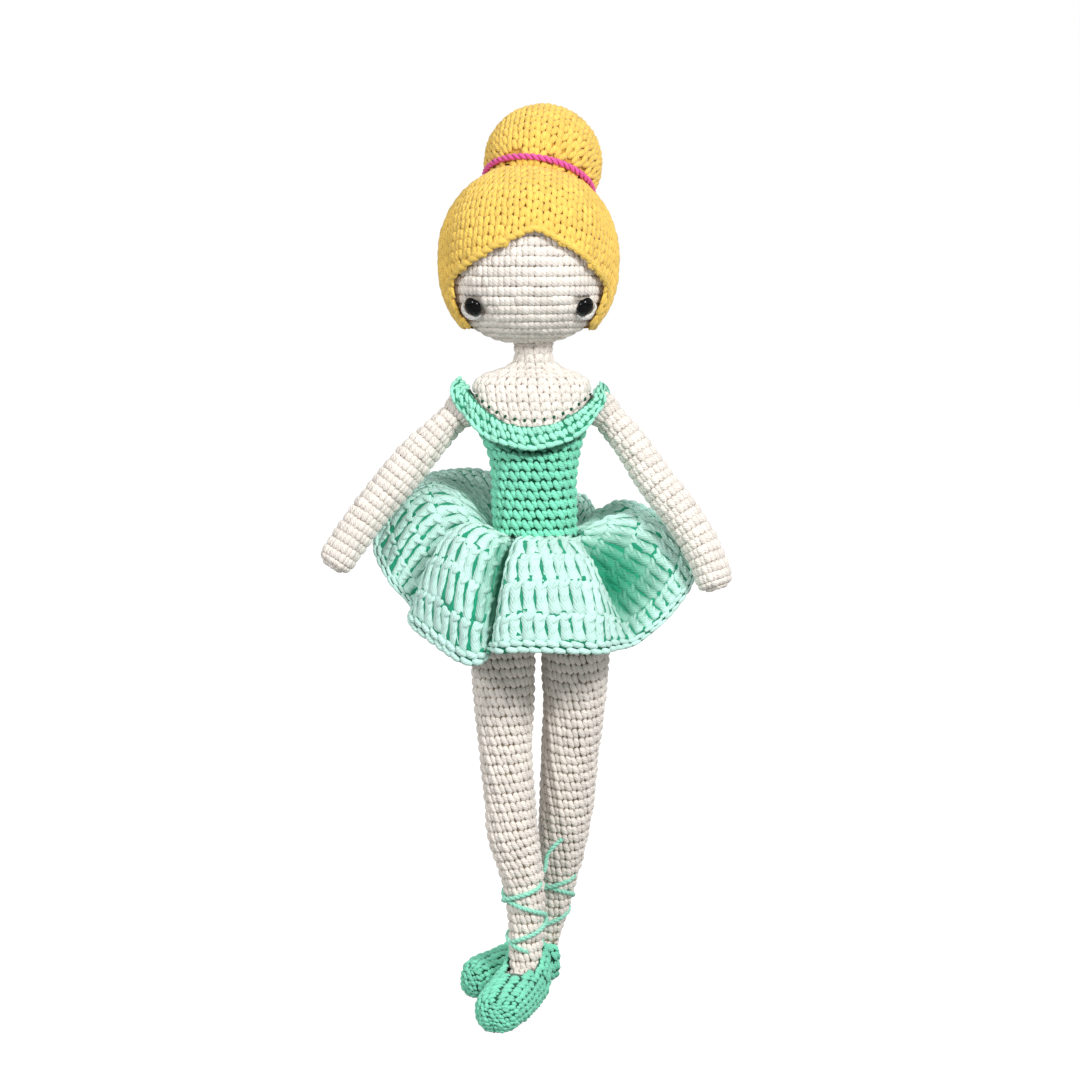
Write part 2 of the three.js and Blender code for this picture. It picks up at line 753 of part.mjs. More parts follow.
function addHair() {
  const outer = clearance + hairThickness;
  const place = (across, up) => new THREE.Vector2(across * headRadius, up * headRadius);
  const edge = hairlineShares.map(([across, up]) => place(across, up));
  const depth = 2 * headRadius;
  const face = new THREE.ExtrudeGeometry(new THREE.Shape(edge), { depth, bevelEnabled: false });
  face.rotateX(Math.PI / 2);
  face.translate(headCentre.x, 0, headCentre.z);
  const bottom = headCentre.z + hairBottomShare * headHalfHeight;
  const cutFoot = headCentre.clone().setZ(bottom - headRadius);
  const below = rod(cutFoot, headCentre.clone().setZ(bottom), 2 * headRadius);
  const cap = headBody(outer)
    .subtract(headBody(clearance))
    .subtract(solid(face))
    .subtract(below);
  addNode('hair_cap', cap, colours.gold);

  const bunCentre = new THREE.Vector3(...bunPlaceShares).multiplyScalar(headRadius)
    .setX(headCentre.x + bunPlaceShares[0] * headRadius);
  bunCentre.z += headCentre.z;
  const seat = headBody(outer + clearance);
  const hollow = ball(bunCentre, bunRadius - wall, cavitySteps);
  addNode('bun_shell', ball(bunCentre, bunRadius).subtract(hollow).subtract(seat), colours.gold);
  const fill = ball(bunCentre, bunRadius - wall - clearance, cavitySteps).subtract(seat);
  addNode('bun_stuffing', fill, colours.fill);

  const axis = new THREE.Vector3(...tieAxisShares).normalize();
  const drop = tieDropShare * bunRadius;
  const reach = bunRadius + clearance + tieRadius;
  const tieCentre = bunCentre.clone().addScaledVector(axis, -drop);
  const tie = torus(tieCentre, axis, Math.sqrt(reach ** 2 - drop ** 2), tieRadius, roundSteps, seamSides);
  addNode('hair_tie', tie, colours.magenta);
}

function addArm(side) {
  const inward = shoulderInward(side);
  const inside = shoulders[side].clone().addScaledVector(inward, shoulderDomeRadius + overrun);
  const opening = rod(shoulders[side], inside, shoulderDomeRadius * limbOpeningShare, openingSteps);
  const shell = armBody(side, 0, limbSteps, armRings)
    .subtract(armBody(side, -wall, limbFillSteps, limbFillRings))
    .subtract(opening);
  addNode(`arm_${side}`, shell, colours.cream);
  const fill = armBody(side, -wall - clearance, limbFillSteps, limbFillRings);
  addNode(`arm_stuffing_${side}`, fill, colours.fill);
  addNode(`shoulder_seam_${side}`, seamRing(shoulders[side], inward, shoulderSeamReach,
    shoulderSeamDropShare, seamYarnRadius), colours.cream);
}

function addLeg(side) {
  const top = hips[side].clone().setZ(hipHeight + hipDomeRadius + overrun);
  const opening = rod(hips[side], top, hipDomeRadius * limbOpeningShare, openingSteps);
  const shell = legBody(side, 0, limbSteps, legRings)
    .subtract(legBody(side, -wall, limbFillSteps, limbFillRings))
    .subtract(opening);
  addNode(`leg_${side}`, shell, colours.cream);
  const fill = legBody(side, -wall - clearance, limbFillSteps, limbFillRings);
  addNode(`leg_stuffing_${side}`, fill, colours.fill);
  addNode(`hip_seam_${side}`, seamRing(hips[side], hipInward(), hipSeamReach, hipSeamDropShare,
    seamYarnRadius), colours.cream);
}

function addSlipper(side) {
  const { along, across } = footAxes(side);
  const grown = clearance + wall;
  const foot = legBody(side, clearance, limbSteps, legRings);
  const middle = ankles[side].clone().addScaledVector(along, slipperOpeningLength / 2);
  const opening = new THREE.CylinderGeometry(1, 1, footHeight + overrun, pocketSteps);
  opening.rotateX(Math.PI / 2);
  opening.scale(slipperOpeningWidth / 2, slipperOpeningLength / 2 + overrun, 1);
  opening.applyMatrix4(new THREE.Matrix4().makeBasis(across, along, new THREE.Vector3(0, 0, 1)));
  opening.translate(middle.x, middle.y, wall + clearance + footHeight);
  const rim = ankles[side].clone().setZ(slipperTopHeight);
  const above = rod(rim, rim.clone().setZ(hipHeight), footLength);
  const under = rod(ankles[side].clone().setZ(-footHeight), ankles[side].clone().setZ(0), 2 * footLength);
  const shoe = footBody(side, grown + flatCut, limbSteps, footRings)
    .subtract(foot)
    .subtract(solid(opening))
    .subtract(above)
    .subtract(under);
  addNode(`slipper_${side}`, shoe, colours.mint);
}

// Laces wound up the ankles: one strand climbs each way round, and the second passes over the first.
// Each has the turns where it starts and ends, and its height at the front as a share of the ankle's
const laceShares = {
  lace_right_under: { side: 'right', rising: 1, start: -0.06, end: 1.7, front: 1.225 },
  lace_right_over: { side: 'right', rising: -1, start: -0.2, end: 1.2, front: 1.525 },
  lace_left_under: { side: 'left', rising: 1, start: 0, end: 1.3, front: 1.225 },
  lace_left_over: { side: 'left', rising: -1, start: -0.1, end: 1.2, front: 1.35 },
};
const laceTailShares = [[0.04, 0.1, 0.2], [0.12, 0.16, 0.45], [0.3, 0.14, 0.65], [0.26, 0.1, 0.8]];
const laceGap = 3 * clearance;

function laceRoute({ side, rising, start, end, front }) {
  const points = [];
  const steps = Math.round((end - start) * laceStepsPerTurn);
  for (let k = 0; k <= steps; k += 1) {
    const turn = start + (end - start) * (k / steps);
    const height = front * ankleHeight + lacePitch * turn;
    const station = legStation(side, 1 - height / hipHeight);
    const over = rising < 0 ? 2 * laceRadius + clearance : 0;
    const reach = station.radius + laceGap + laceRadius + over;
    const angle = rising * turn * 2 * Math.PI;
    points.push(station.centre.clone().add(new THREE.Vector3(-Math.sin(angle), -Math.cos(angle), 0)
      .multiplyScalar(reach)));
  }
  return points;
}

function cord(points) {
  const section = new THREE.Shape(Array.from({ length: cordSides }, (unused, k) => {
    const angle = (k / cordSides) * 2 * Math.PI;
    return new THREE.Vector2(laceRadius * Math.cos(angle), laceRadius * Math.sin(angle));
  }));
  const geometry = new THREE.ExtrudeGeometry(section, {
    steps: points.length - 1,
    bevelEnabled: false,
    extrudePath: new THREE.CatmullRomCurve3(points),
  });
  return solid(geometry);
}

function addLaces() {
  Object.entries(laceShares).forEach(([name, shares]) => {
    const route = laceRoute(shares);
    if (name === 'lace_right_under') {
      const end = route[route.length - 1];
      laceTailShares.forEach(([aside, back, up]) => {
        route.push(end.clone().add(new THREE.Vector3(aside, back, up).multiplyScalar(laceTail)));
      });
    }
    addNode(name, cord(route), colours.mint);
  });
}

// The neckline's height at a distance from the middle of the chest. It rises less towards the doll's left
const necklineBottomShare = 0.681;
const necklineMiddleShare = -0.1;
const necklineCurve = 2.2;
const necklineLeftShare = 0.72;

function necklineHeight(x) {
  const aside = (x - necklineMiddleShare * torsoHalfWidth) / torsoHalfWidth;
  const dip = necklineDip * (aside > 0 ? necklineLeftShare : 1);
  return torsoBottom + necklineBottomShare * torsoHeight + dip * Math.abs(aside) ** necklineCurve;
}

function addBodice() {
  const reach = 2 * torsoHalfWidth;
  const waist = new THREE.Vector3(0, 0, waistHeight + clearance);
  const below = rod(waist.clone().setZ(torsoBottom - overrun), waist, reach);
  const outer = torsoBody(clearance + wall, 0, 1, torsoSteps, torsoRings);
  const inner = torsoBody(clearance, 0, 1, torsoSteps, torsoRings, overrun);
  const edge = Array.from({ length: necklineSteps + 1 }, (unused, k) => {
    const x = THREE.MathUtils.lerp(-reach, reach, k / necklineSteps);
    return new THREE.Vector2(x, Math.min(necklineHeight(x), torsoBottom + torsoHeight));
  });
  edge.push(new THREE.Vector2(reach, torsoBottom + 2 * torsoHeight));
  edge.push(new THREE.Vector2(-reach, torsoBottom + 2 * torsoHeight));
  const depth = 2 * reach;
  const above = new THREE.ExtrudeGeometry(new THREE.Shape(edge), { depth, bevelEnabled: false });
  above.rotateX(Math.PI / 2);
  above.translate(0, reach, 0);
  let bodice = outer.subtract(inner).subtract(solid(above)).subtract(below);
  Object.keys(sideSigns).forEach((side) => {
    bodice = bodice.subtract(ball(shoulders[side], shoulderPocket + clearance, pocketSteps))
      .subtract(seamRing(shoulders[side], shoulderInward(side), shoulderSeamReach,
        shoulderSeamDropShare, seamYarnRadius + clearance));
  });
  addNode('bodice', bodice, colours.mint);
}

// A point of the torso's outline, grown by a distance, at a turn round it from the front
function torsoOutline(turn, height, grow) {
  const here = torsoAt((height - torsoBottom) / torsoHeight);
  const sine = Math.sin(turn);
  const cosine = Math.cos(turn);
  const power = 2 / torsoSquareness;
  const wide = (here.halfWidth + grow) * Math.sign(sine) * Math.abs(sine) ** power;
  const deep = (here.halfDepth + grow) * Math.sign(cosine) * Math.abs(cosine) ** power;
  return new THREE.Vector3(here.x - wide, -deep, height);
}

function addFrill() {
  const grow = clearance + wall + clearance + frillThickness / 2;
  const passes = 8;
  const loops = Array.from({ length: frillSteps }, (unused, k) => {
    const share = k / frillSteps;
    const turn = share * 2 * Math.PI;
    let base = torsoOutline(turn, necklineHeight(0), grow);
    for (let pass = 0; pass < passes; pass += 1) {
      base = torsoOutline(turn, necklineHeight(base.x), grow);
    }
    const [out, up, width] = readTable(frillShares, share);
    const level = new THREE.Vector3(base.x - shoulderX, base.y, 0).normalize();
    const upward = new THREE.Vector3(0, 0, 1);
    const fall = level.clone().multiplyScalar(out).addScaledVector(upward, up).normalize();
    const tangent = upward.clone().cross(level);
    const face = tangent.clone().cross(fall).normalize();
    const section = [];
    [1, -1].forEach((layer) => {
      for (let row = 0; row <= frillRows; row += 1) {
        const along = layer > 0 ? row / frillRows : 1 - row / frillRows;
        section.push(base.clone().addScaledVector(fall, along * width * frillWidth)
          .addScaledVector(face, layer * frillThickness / 2));
      }
    });
    return section;
  });
  addNode('neckline_frill', solid(skin(loops, true)), colours.paleMint);
}

// The skirt's middle surface: turn round the waist (0 to 1) and way down to the hem (0 to 1)
const skirtLeaveShare = 0.5;
const skirtRiseShare = 0.06;
const skirtFallShare = 0.55;
const skirtFloatShare = 0.32;
const tuckCurve = 0.8;
const tuckInwardShare = 0.5;
const slopeStep = 0.002;

function skirtPoint(around, down) {
  const count = skirtShares.length;
  const at = (((around % 1) + 1) % 1) * count;
  const row = Math.floor(at);
  const t = at - row;
  const pick = (offset) => skirtShares[(row + offset + count) % count];
  const [before, start, end, after] = [pick(-1), pick(0), pick(1), pick(2)];
  const [x, y, drop, tuck] = start.map((value, column) => {
    const slopeIn = (end[column] - before[column]) / 2;
    const slopeOut = (after[column] - value) / 2;
    return (2 * t ** 3 - 3 * t ** 2 + 1) * value + (t ** 3 - 2 * t ** 2 + t) * slopeIn
      + (3 * t ** 2 - 2 * t ** 3) * end[column] + (t ** 3 - t ** 2) * slopeOut;
  });
  const hem = new THREE.Vector3(x * skirtReach, y * skirtReach, waistHeight - drop * skirtDrop);
  const turn = Math.atan2(-x, -y);
  const grow = clearance + skirtThickness;
  const top = torsoOutline(turn, waistHeight - skirtThickness / 2 - clearance, grow);
  const out = new THREE.Vector3(hem.x - top.x, hem.y - top.y, 0);
  const hang = THREE.MathUtils.clamp(drop, 0, 1);
  const first = top.clone().addScaledVector(out, skirtLeaveShare).setZ(top.z + skirtRiseShare * skirtDrop);
  const second = hem.clone().addScaledVector(out, -skirtFloatShare * (1 - hang))
    .setZ(hem.z + skirtFallShare * skirtDrop * hang);
  const curve = new THREE.CubicBezierCurve3(top, first, second, hem);
  const place = curve.getPoint(down);
  const tucked = tuck * skirtReach * Math.sin(Math.PI * down ** tuckCurve);
  return place.addScaledVector(out.normalize(), -tucked * tuckInwardShare)
    .add(new THREE.Vector3(0, 0, -tucked));
}

function addSkirt() {
  const loops = Array.from({ length: skirtSteps }, (unused, k) => {
    const around = k / skirtSteps;
    const section = [];
    [1, -1].forEach((layer) => {
      for (let row = 0; row <= skirtRows; row += 1) {
        const down = layer > 0 ? row / skirtRows : 1 - row / skirtRows;
        const safe = THREE.MathUtils.clamp(down, slopeStep, 1 - slopeStep);
        const along = skirtPoint(around, safe + slopeStep).sub(skirtPoint(around, safe - slopeStep));
        const aside = skirtPoint(around + slopeStep, down).sub(skirtPoint(around - slopeStep, down));
        const face = aside.cross(along).normalize();
        section.push(skirtPoint(around, down).addScaledVector(face, layer * skirtThickness / 2));
      }
    });
    return section;
  });
  addNode('skirt', solid(skin(loops, true)), colours.paleMint);
}

const { bore } = addTorso();
addHead(bore);
addHair();
Object.keys(sideSigns).forEach((side) => {
  addArm(side);
  addLeg(side);
  addSlipper(side);
});
addLaces();
addBodice();
addFrill();
addSkirt();

// The middle of the whole doll's box stands on the Z axis
doll.children.forEach((mesh) => mesh.geometry.translate(shiftX, shiftY, 0));

export default doll;
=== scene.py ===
# %% [markdown]
# # A crocheted doll in a mint dress
# The real doll is made of yarn tubes and balls, worked stitch by stitch with a hook, stuffed with
# fibre and sewn together. This lesson dresses a plain solid model of it: every soft solid is covered
# with stitches that follow its surface, and the hard parts get finer shapes and real finishes.
#
# The solid model is loaded first, as a fixed frame. Nothing in it is moved.

import math

import bmesh
import bpy
import numpy as np
from mathutils import Matrix, Vector


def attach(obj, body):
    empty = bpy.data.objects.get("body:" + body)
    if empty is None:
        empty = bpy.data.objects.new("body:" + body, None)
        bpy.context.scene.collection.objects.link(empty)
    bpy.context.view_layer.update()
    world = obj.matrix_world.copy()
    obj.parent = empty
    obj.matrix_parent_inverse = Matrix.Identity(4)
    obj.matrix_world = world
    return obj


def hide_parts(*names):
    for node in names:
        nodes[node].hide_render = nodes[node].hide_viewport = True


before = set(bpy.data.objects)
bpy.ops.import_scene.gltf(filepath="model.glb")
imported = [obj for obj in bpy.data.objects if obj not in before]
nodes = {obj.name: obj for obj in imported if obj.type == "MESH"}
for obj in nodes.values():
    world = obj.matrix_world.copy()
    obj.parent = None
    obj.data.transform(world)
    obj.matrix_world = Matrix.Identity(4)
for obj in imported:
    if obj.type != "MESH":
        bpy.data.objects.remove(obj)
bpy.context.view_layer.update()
MM = 0.001

# %% [markdown]
# ## The camera
# A doll of this kind is photographed from a little above its middle, with a long lens so that the
# head and the feet keep their true proportions. The lens and the place come from the picture's
# horizon and from how much of the frame the doll fills.

# %% Make the camera
LENS, SENSOR = 89.3, 36
CAMERA_PLACE, CAMERA_AIM = (5.56, -1086.86, 335.5), (5.56, 2.14, 193.2)
camera_data = bpy.data.cameras.new("camera")
camera_data.lens = LENS
camera_data.sensor_width = SENSOR
camera = bpy.data.objects.new("camera", camera_data)
bpy.context.scene.collection.objects.link(camera)
camera.location = Vector(CAMERA_PLACE) * MM
aim = Vector(CAMERA_AIM) * MM
camera.rotation_euler = (aim - camera.location).to_track_quat("-Z", "Y").to_euler()
bpy.context.scene.camera = camera
print("camera", round((aim - camera.location).length, 3), "m from the doll's middle")

# %% [markdown]
# ## Node helper
# A finish is a small graph of shader nodes. One function adds a node with its settings and its
# links, and one turns the colours that a person reads, such as #74DDB4, into the linear numbers
# that light is added up in.

# %% Add a node, read a colour
def add_node(material, kind, settings=None, links=None):
    node = material.node_tree.nodes.new(kind)
    for name, value in (settings or {}).items():
        if isinstance(name, str) and hasattr(node, name):
            setattr(node, name, value)
        else:
            node.inputs[name].default_value = value
    for name, source in (links or {}).items():
        material.node_tree.links.new(source, node.inputs[name])
    return node


def linear(colour):
    parts = [int(colour[i:i + 2], 16) / 255 for i in (1, 3, 5)]
    return [p / 12.92 if p <= 0.04045 else ((p + 0.055) / 1.055) ** 2.4 for p in parts] + [1.0]


def blank_material(name):
    material = bpy.data.materials.new(name)
    material.use_nodes = True
    material.node_tree.nodes.clear()
    return material


print("mint in linear light", [round(x, 3) for x in linear("#74DDB4")])

# %% [markdown]
# ## Cotton yarn
# The whole doll is mercerised cotton of about 1.5 mm, spun from plies that twist round each other.
# It scatters light evenly, with a faint sheen from loose fibres. Down between the stitches light is
# lost, and the finish paints that shade: there the colour goes to a deep colour of the same yarn.
#
# Each stitch carries three things that the finish reads: its own UV map in millimetres along and
# round the yarn, for the twist; "depth", which is 0 down at the cloth and 1 on top, and where it is
# low the finish paints shade; and "tone", a small difference from stitch to stitch. The real twist
# is 0.5 mm wide, which is about one dot of the picture, so it is drawn about twice as wide, and its
# grooves get painted shade, a slightly darker colour.

# %% Make a yarn finish
PLY_ALONG, PLY_ROUND, PLY_DEEP = 1.1, 1.3, 0.14
FUZZ_WIDE, FUZZ_DEEP = 0.35, 0.1
TONE_SPREAD, TONE_LEAST = 0.16, 0.87
SPECKLE_SPREAD, SPECKLE_LEAST = 0.22, 0.89


def yarn(name, top, deep, groove=0.2):
    material = blank_material(name)
    depth = add_node(material, "ShaderNodeAttribute", {"attribute_name": "depth"})
    tone = add_node(material, "ShaderNodeAttribute", {"attribute_name": "tone"})
    place = add_node(material, "ShaderNodeTexCoord")
    fibres = add_node(material, "ShaderNodeTexNoise", {"Scale": 1 / (FUZZ_WIDE * 4 * MM), "Detail": 3.0},
                      {"Vector": place.outputs["Object"]})
    # Painted shade: where depth is low, on the low parts of stitches and on the base cloth, the colour goes
    # to the deep colour.
    rise = add_node(material, "ShaderNodeMapRange",
                    {"interpolation_type": "SMOOTHSTEP", "From Min": 0.08, "From Max": 0.72},
                    {"Value": depth.outputs["Fac"]})
    base = add_node(material, "ShaderNodeMix", {"data_type": "RGBA", 6: linear(deep), 7: linear(top)},
                    {0: rise.outputs["Result"]})
    shade = add_node(material, "ShaderNodeMath", {"operation": "MULTIPLY_ADD", 1: TONE_SPREAD, 2: TONE_LEAST},
                     {0: tone.outputs["Fac"]})
    speckle = add_node(material, "ShaderNodeMath",
                       {"operation": "MULTIPLY_ADD", 1: SPECKLE_SPREAD, 2: SPECKLE_LEAST},
                       {0: fibres.outputs["Fac"]})
    strand = add_node(material, "ShaderNodeUVMap", {"uv_map": "yarn"})
    turn = add_node(material, "ShaderNodeMapping",
                    {"Scale": (2 * math.pi / PLY_ALONG / 10, 2 * math.pi / PLY_ROUND / 10, 1)},
                    {"Vector": strand.outputs["UV"]})
    plies = add_node(material, "ShaderNodeTexWave", {"bands_direction": "DIAGONAL", "Scale": 1.0},
                     {"Vector": turn.outputs[0]})
    # Painted shade in the twist's grooves: the colour is a little darker along the wave.
    groove_shade = add_node(material, "ShaderNodeMath",
                      {"operation": "MULTIPLY_ADD", 1: groove, 2: 1 - groove * 0.6},
                      {0: plies.outputs["Fac"]})
    mottle = add_node(material, "ShaderNodeMath", {"operation": "MULTIPLY"},
                      {0: shade.outputs[0], 1: speckle.outputs[0]})
    value = add_node(material, "ShaderNodeMath", {"operation": "MULTIPLY"},
                     {0: mottle.outputs[0], 1: groove_shade.outputs[0]})
    tint = add_node(material, "ShaderNodeHueSaturation", {}, {"Color": base.outputs[2],
                                                              "Value": value.outputs[0]})
    twist = add_node(material, "ShaderNodeBump", {"Strength": 0.7, "Distance": PLY_DEEP * MM},
                     {"Height": plies.outputs["Fac"]})
    fuzz = add_node(material, "ShaderNodeBump", {"Strength": 0.5, "Distance": FUZZ_DEEP * MM},
                    {"Height": fibres.outputs["Fac"], "Normal": twist.outputs[0]})
    shader = add_node(material, "ShaderNodeBsdfPrincipled",
                      {"Roughness": 0.86, "Sheen Weight": 0.25, "Sheen Roughness": 0.5,
                       "Specular IOR Level": 0.25},
                      {"Base Color": tint.outputs[0], "Normal": fuzz.outputs[0]})
    add_node(material, "ShaderNodeOutputMaterial", {}, {"Surface": shader.outputs[0]})
    return material


# Each yarn's second colour is its deep colour: painted shade for the low parts of stitches and the holes
# between them.
cream_cotton = yarn("cream_cotton_yarn", "#F6EEE5", "#A39279", groove=0.14)
gold_cotton = yarn("golden_cotton_yarn", "#F8CF62", "#CB9026", groove=0.14)
mint_cotton = yarn("mint_cotton_yarn", "#88EAC8", "#045A3C")
pale_cotton = yarn("pale_mint_cotton_yarn", "#CDF5EA", "#1E9C77")
light_cotton = yarn("light_mint_cotton_yarn", "#A6F2D8", "#128A63")
magenta_cotton = yarn("magenta_cotton_yarn", "#F25FB0", "#8C0F4A")
white_cotton = yarn("white_cotton_yarn", "#FBF9F5", "#C9C4BA")
print("yarn finishes", 7)

# %% [markdown]
# ## The doll's sizes
# The lesson repeats the sizes and tables that the solid model was made from, in millimetres, so
# that each stitch lies where the solid's skin is. A table holds rows along a part; `read` gives its
# columns at any place between the rows, as a smooth curve.

# %% Sizes and a table reader
WALL, CLEAR = 2.2, 0.35
HIP_HEIGHT, THIGH, HIP_BALL = 166, 14, 12.6
ANKLE_HEIGHT, FOOT_LENGTH, FOOT_HALF, FOOT_HEIGHT = 20, 51, 7.4, 15.5
TORSO_BOTTOM, TORSO_HEIGHT, TORSO_HALF, TORSO_DEEP, TORSO_SQUARE = 173, 100.2, 25.5, 16, 2.25
SHOULDER_HEIGHT, SHOULDER_SPREAD, SHOULDER_BALL = 247, 28.2, 7.5
ARM_LENGTH, ARM_RADIUS, LIMB_REACH = 83, 8.2, 0.93
HEAD_RADIUS, HEAD_HALF, HAIR_THICK, BUN_RADIUS = 33.7, 34.8, 2.6, 24.1
EYE_RADIUS, EYE_HEIGHT = 4, 3.1
WAIST, SKIRT_REACH, SKIRT_DROP, SKIRT_THICK = 197, 67, 50, 2.6
FRILL_WIDTH, FRILL_THICK, NECK_DIP = 9.6, 2.2, 14.5
LACE_THICK, LACE_PITCH, LACE_TAIL = 1.4, 18, 21
SHIFT = np.array([3.56, 2.14, 0.0])
SIDES = {"right": -1, "left": 1}


def blend(t, start, end, leaving, arriving):
    """A smooth curve from start to end, which leaves and arrives at the slopes given."""
    return ((2 * t**3 - 3 * t**2 + 1) * start + (t**3 - 2 * t**2 + t) * leaving
            + (3 * t**2 - 2 * t**3) * end + (t**3 - t**2) * arriving)


def read(table, at):
    table, at = np.asarray(table, float), np.asarray(at, float)
    last = len(table) - 1
    row = np.clip(np.searchsorted(table[:, 0], at, side="left") - 1, 0, last - 1)
    before, start = table[np.maximum(row - 1, 0)], table[row]
    end, after = table[row + 1], table[np.minimum(row + 2, last)]
    span = (end[..., 0] - start[..., 0])[..., None]
    t = np.clip((at - start[..., 0])[..., None] / span, 0, 1)
    slope_in = (end - before) / (end[..., :1] - before[..., :1])
    slope_out = (after - start) / (after[..., :1] - start[..., :1])
    return np.moveaxis(blend(t, start, end, span * slope_in, span * slope_out)[..., 1:], -1, 0)


print("half way up", np.round(read([[0, 1], [1, 3], [2, 4]], 0.5), 3))

# %% [markdown]
# ## Stitches
# A single crochet stitch shows two legs of yarn that lean into a crooked V, with a dark hole beside
# it where the hook went through. A double crochet is a tall post with two thin strands wound over it.
# A chain stitch lies along its row. All are made from one shape: a leaf of yarn, swollen in its
# middle and pinched at its ends, where it dives under its neighbour.
#
# A leaf starts as a small ball. Its points are moved so that the ball's axis runs from the leaf's
# foot to its tip, with a hump over the cloth. It has only a few dozen faces, because the doll has
# thousands of stitches.

# %% Make leaves of yarn and join them into a stitch
def mesh_of(bm):
    mesh = bpy.data.meshes.new("mesh")
    bm.to_mesh(mesh)
    bm.free()
    return mesh


def add_leaf(bm, layers, foot, tip, width, thick, hump=0.3, pinch=0.15, bow=0.0, blunt=2.4, waist=0.0,
             rings=6):
    uv_layer, depth_layer = layers
    made = bmesh.ops.create_uvsphere(bm, u_segments=6, v_segments=rings, radius=1.0, calc_uvs=True)
    foot, tip = Vector(foot), Vector(tip)
    along = tip - foot
    across = Vector((along.y, -along.x, 0)).normalized()
    up = across.cross(along).normalized()
    faces = set()
    for vertex in made["verts"]:
        t = (1 - vertex.co.z) / 2
        ring = math.sqrt(max(1 - vertex.co.z**2, 0))
        rise = math.sin(math.pi * t)
        swell = (1 - pinch * (2 * t - 1)) * (1 - waist * rise**2)
        swell *= (1 - abs(vertex.co.z)**blunt)**(1 / blunt) / ring if ring > 0.01 else 0
        centre = foot + along * t + across * (bow * rise) + Vector((0, 0, hump * rise))
        side = vertex.co.x * width / 2 * swell
        over = vertex.co.y * thick / 2 * swell
        vertex[depth_layer] = t
        vertex.co = centre + across * side + up * over
        faces.update(vertex.link_faces)
    for face in faces:
        for loop in face.loops:
            uv = loop[uv_layer].uv
            uv.x, uv.y = uv.y * along.length, uv.x * (width + thick) * 1.6


def stitch_shape(name, leaves):
    bm = bmesh.new()
    layers = (bm.loops.layers.uv.new("yarn"), bm.verts.layers.float.new("t"))
    for leaf in leaves:
        add_leaf(bm, layers, **leaf)
    bmesh.ops.recalc_face_normals(bm, faces=bm.faces)
    mesh = mesh_of(bm)
    corners = np.array([v.co for v in mesh.vertices])
    print(name, len(mesh.polygons), "faces, from", corners.min(0).round(2), "to", corners.max(0).round(2))
    return mesh


CELL_WIDE, CELL_HIGH, POST_HIGH = 4.9, 4.0, 9.2
single = stitch_shape("single_crochet", [
    dict(foot=(-2.5, 1.9, 0.0), tip=(0.7, -2.1, 0.3), width=2.7, thick=1.9, hump=0.45, bow=0.3, blunt=2.8),
    dict(foot=(0.2, 2.0, -0.1), tip=(2.2, -1.2, 0.05), width=2.4, thick=1.6, hump=0.3, bow=0.1),
])
slanted = stitch_shape("slanted_single_crochet", [
    dict(foot=(-2.3, 2.1, 0.0), tip=(0.3, -2.2, 0.2), width=2.7, thick=1.8, hump=0.4, bow=0.2, blunt=2.8),
    dict(foot=(0.5, 2.2, -0.1), tip=(2.1, -2.0, 0.0), width=2.6, thick=1.6, hump=0.25, blunt=2.8),
])
ribbed = stitch_shape("ribbed_single_crochet", [
    dict(foot=(-1.7, 2.15, 0.0), tip=(-0.8, -2.15, 0.1), width=3.9, thick=1.9, hump=0.2, blunt=2.7),
    dict(foot=(0.9, 2.15, 0.0), tip=(1.6, -2.15, 0.0), width=3.7, thick=1.8, hump=0.15, blunt=2.7),
])
vee = stitch_shape("vee_stitch", [
    dict(foot=(-2.0, 2.5, 0.1), tip=(-0.55, -2.5, 0.1), width=2.9, thick=1.8, hump=0.3, blunt=3.2),
    dict(foot=(2.0, 2.5, 0.1), tip=(0.55, -2.5, 0.1), width=2.9, thick=1.8, hump=0.3, blunt=3.2),
])
post = stitch_shape("double_crochet", [
    dict(foot=(-0.6, 5.5, 0.0), tip=(0.3, -5.5, 0.0), width=7.2, thick=2.3, hump=0.2, pinch=0.04,
         bow=0.5, blunt=4.5, waist=0.4, rings=8),
    dict(foot=(2.6, 4.9, 0.45), tip=(-1.2, 1.9, 0.7), width=1.8, thick=1.3, hump=0.25),
    dict(foot=(1.2, 1.4, 0.4), tip=(-1.3, -2.4, 0.5), width=1.6, thick=1.2, hump=0.25),
])
chain = stitch_shape("chain_stitch", [
    dict(foot=(-2.9, 0.5, 0.1), tip=(2.6, -0.5, 0.3), width=2.5, thick=1.9, hump=0.4, bow=0.2, blunt=2.8),
])
# An eyelet is a dark dot of the deep colour: painted shade in a hole of the neckline.
eyelet = stitch_shape("eyelet", [
    dict(foot=(0.1, 0.75, 0.0), tip=(-0.1, -0.75, 0.0), width=1.2, thick=0.9, hump=0.0),
])

# %% [markdown]
# ## Laying stitches on a surface
# A surface is a function of two shares: u runs to the right round the part, as one looks at it from
# outside, and v runs down it. Crochet is worked in rounds, so the stitches lie in rows at equal
# distances down the surface, and each row holds as many whole stitches as fit its own length. The
# next row starts a little further round, as it does in a spiral.
#
# A stitch is copied thousands of times, which mesh operators would do slowly, so the points of all
# copies are worked out together: each one's place across and down the cloth gives a point of the
# surface, and its height lifts it along the surface's normal.

# %% Lay a stitch along the rows of a surface
STEP, ROUND_SAMPLES, DOWN_SAMPLES, ROUND_PLACES = 1e-3, 721, 801, 24
SIZE_VARIES = 0.06


def unit(vector):
    return vector / np.maximum(np.linalg.norm(vector, axis=-1, keepdims=True), 1e-9)


def normals(place, u, v):
    across = place(u + STEP, v) - place(u - STEP, v)
    down = place(u, np.clip(v + STEP, 0, 1)) - place(u, np.clip(v - STEP, 0, 1))
    return unit(np.cross(down, across))


def run_of(line):
    """How far along a line each of its points lies."""
    return np.concatenate([[0], np.cumsum(np.linalg.norm(np.diff(line, axis=0), axis=-1))])


def points_at(distances, line, run):
    return np.stack([np.interp(distances, run, line[:, i]) for i in range(3)], -1)


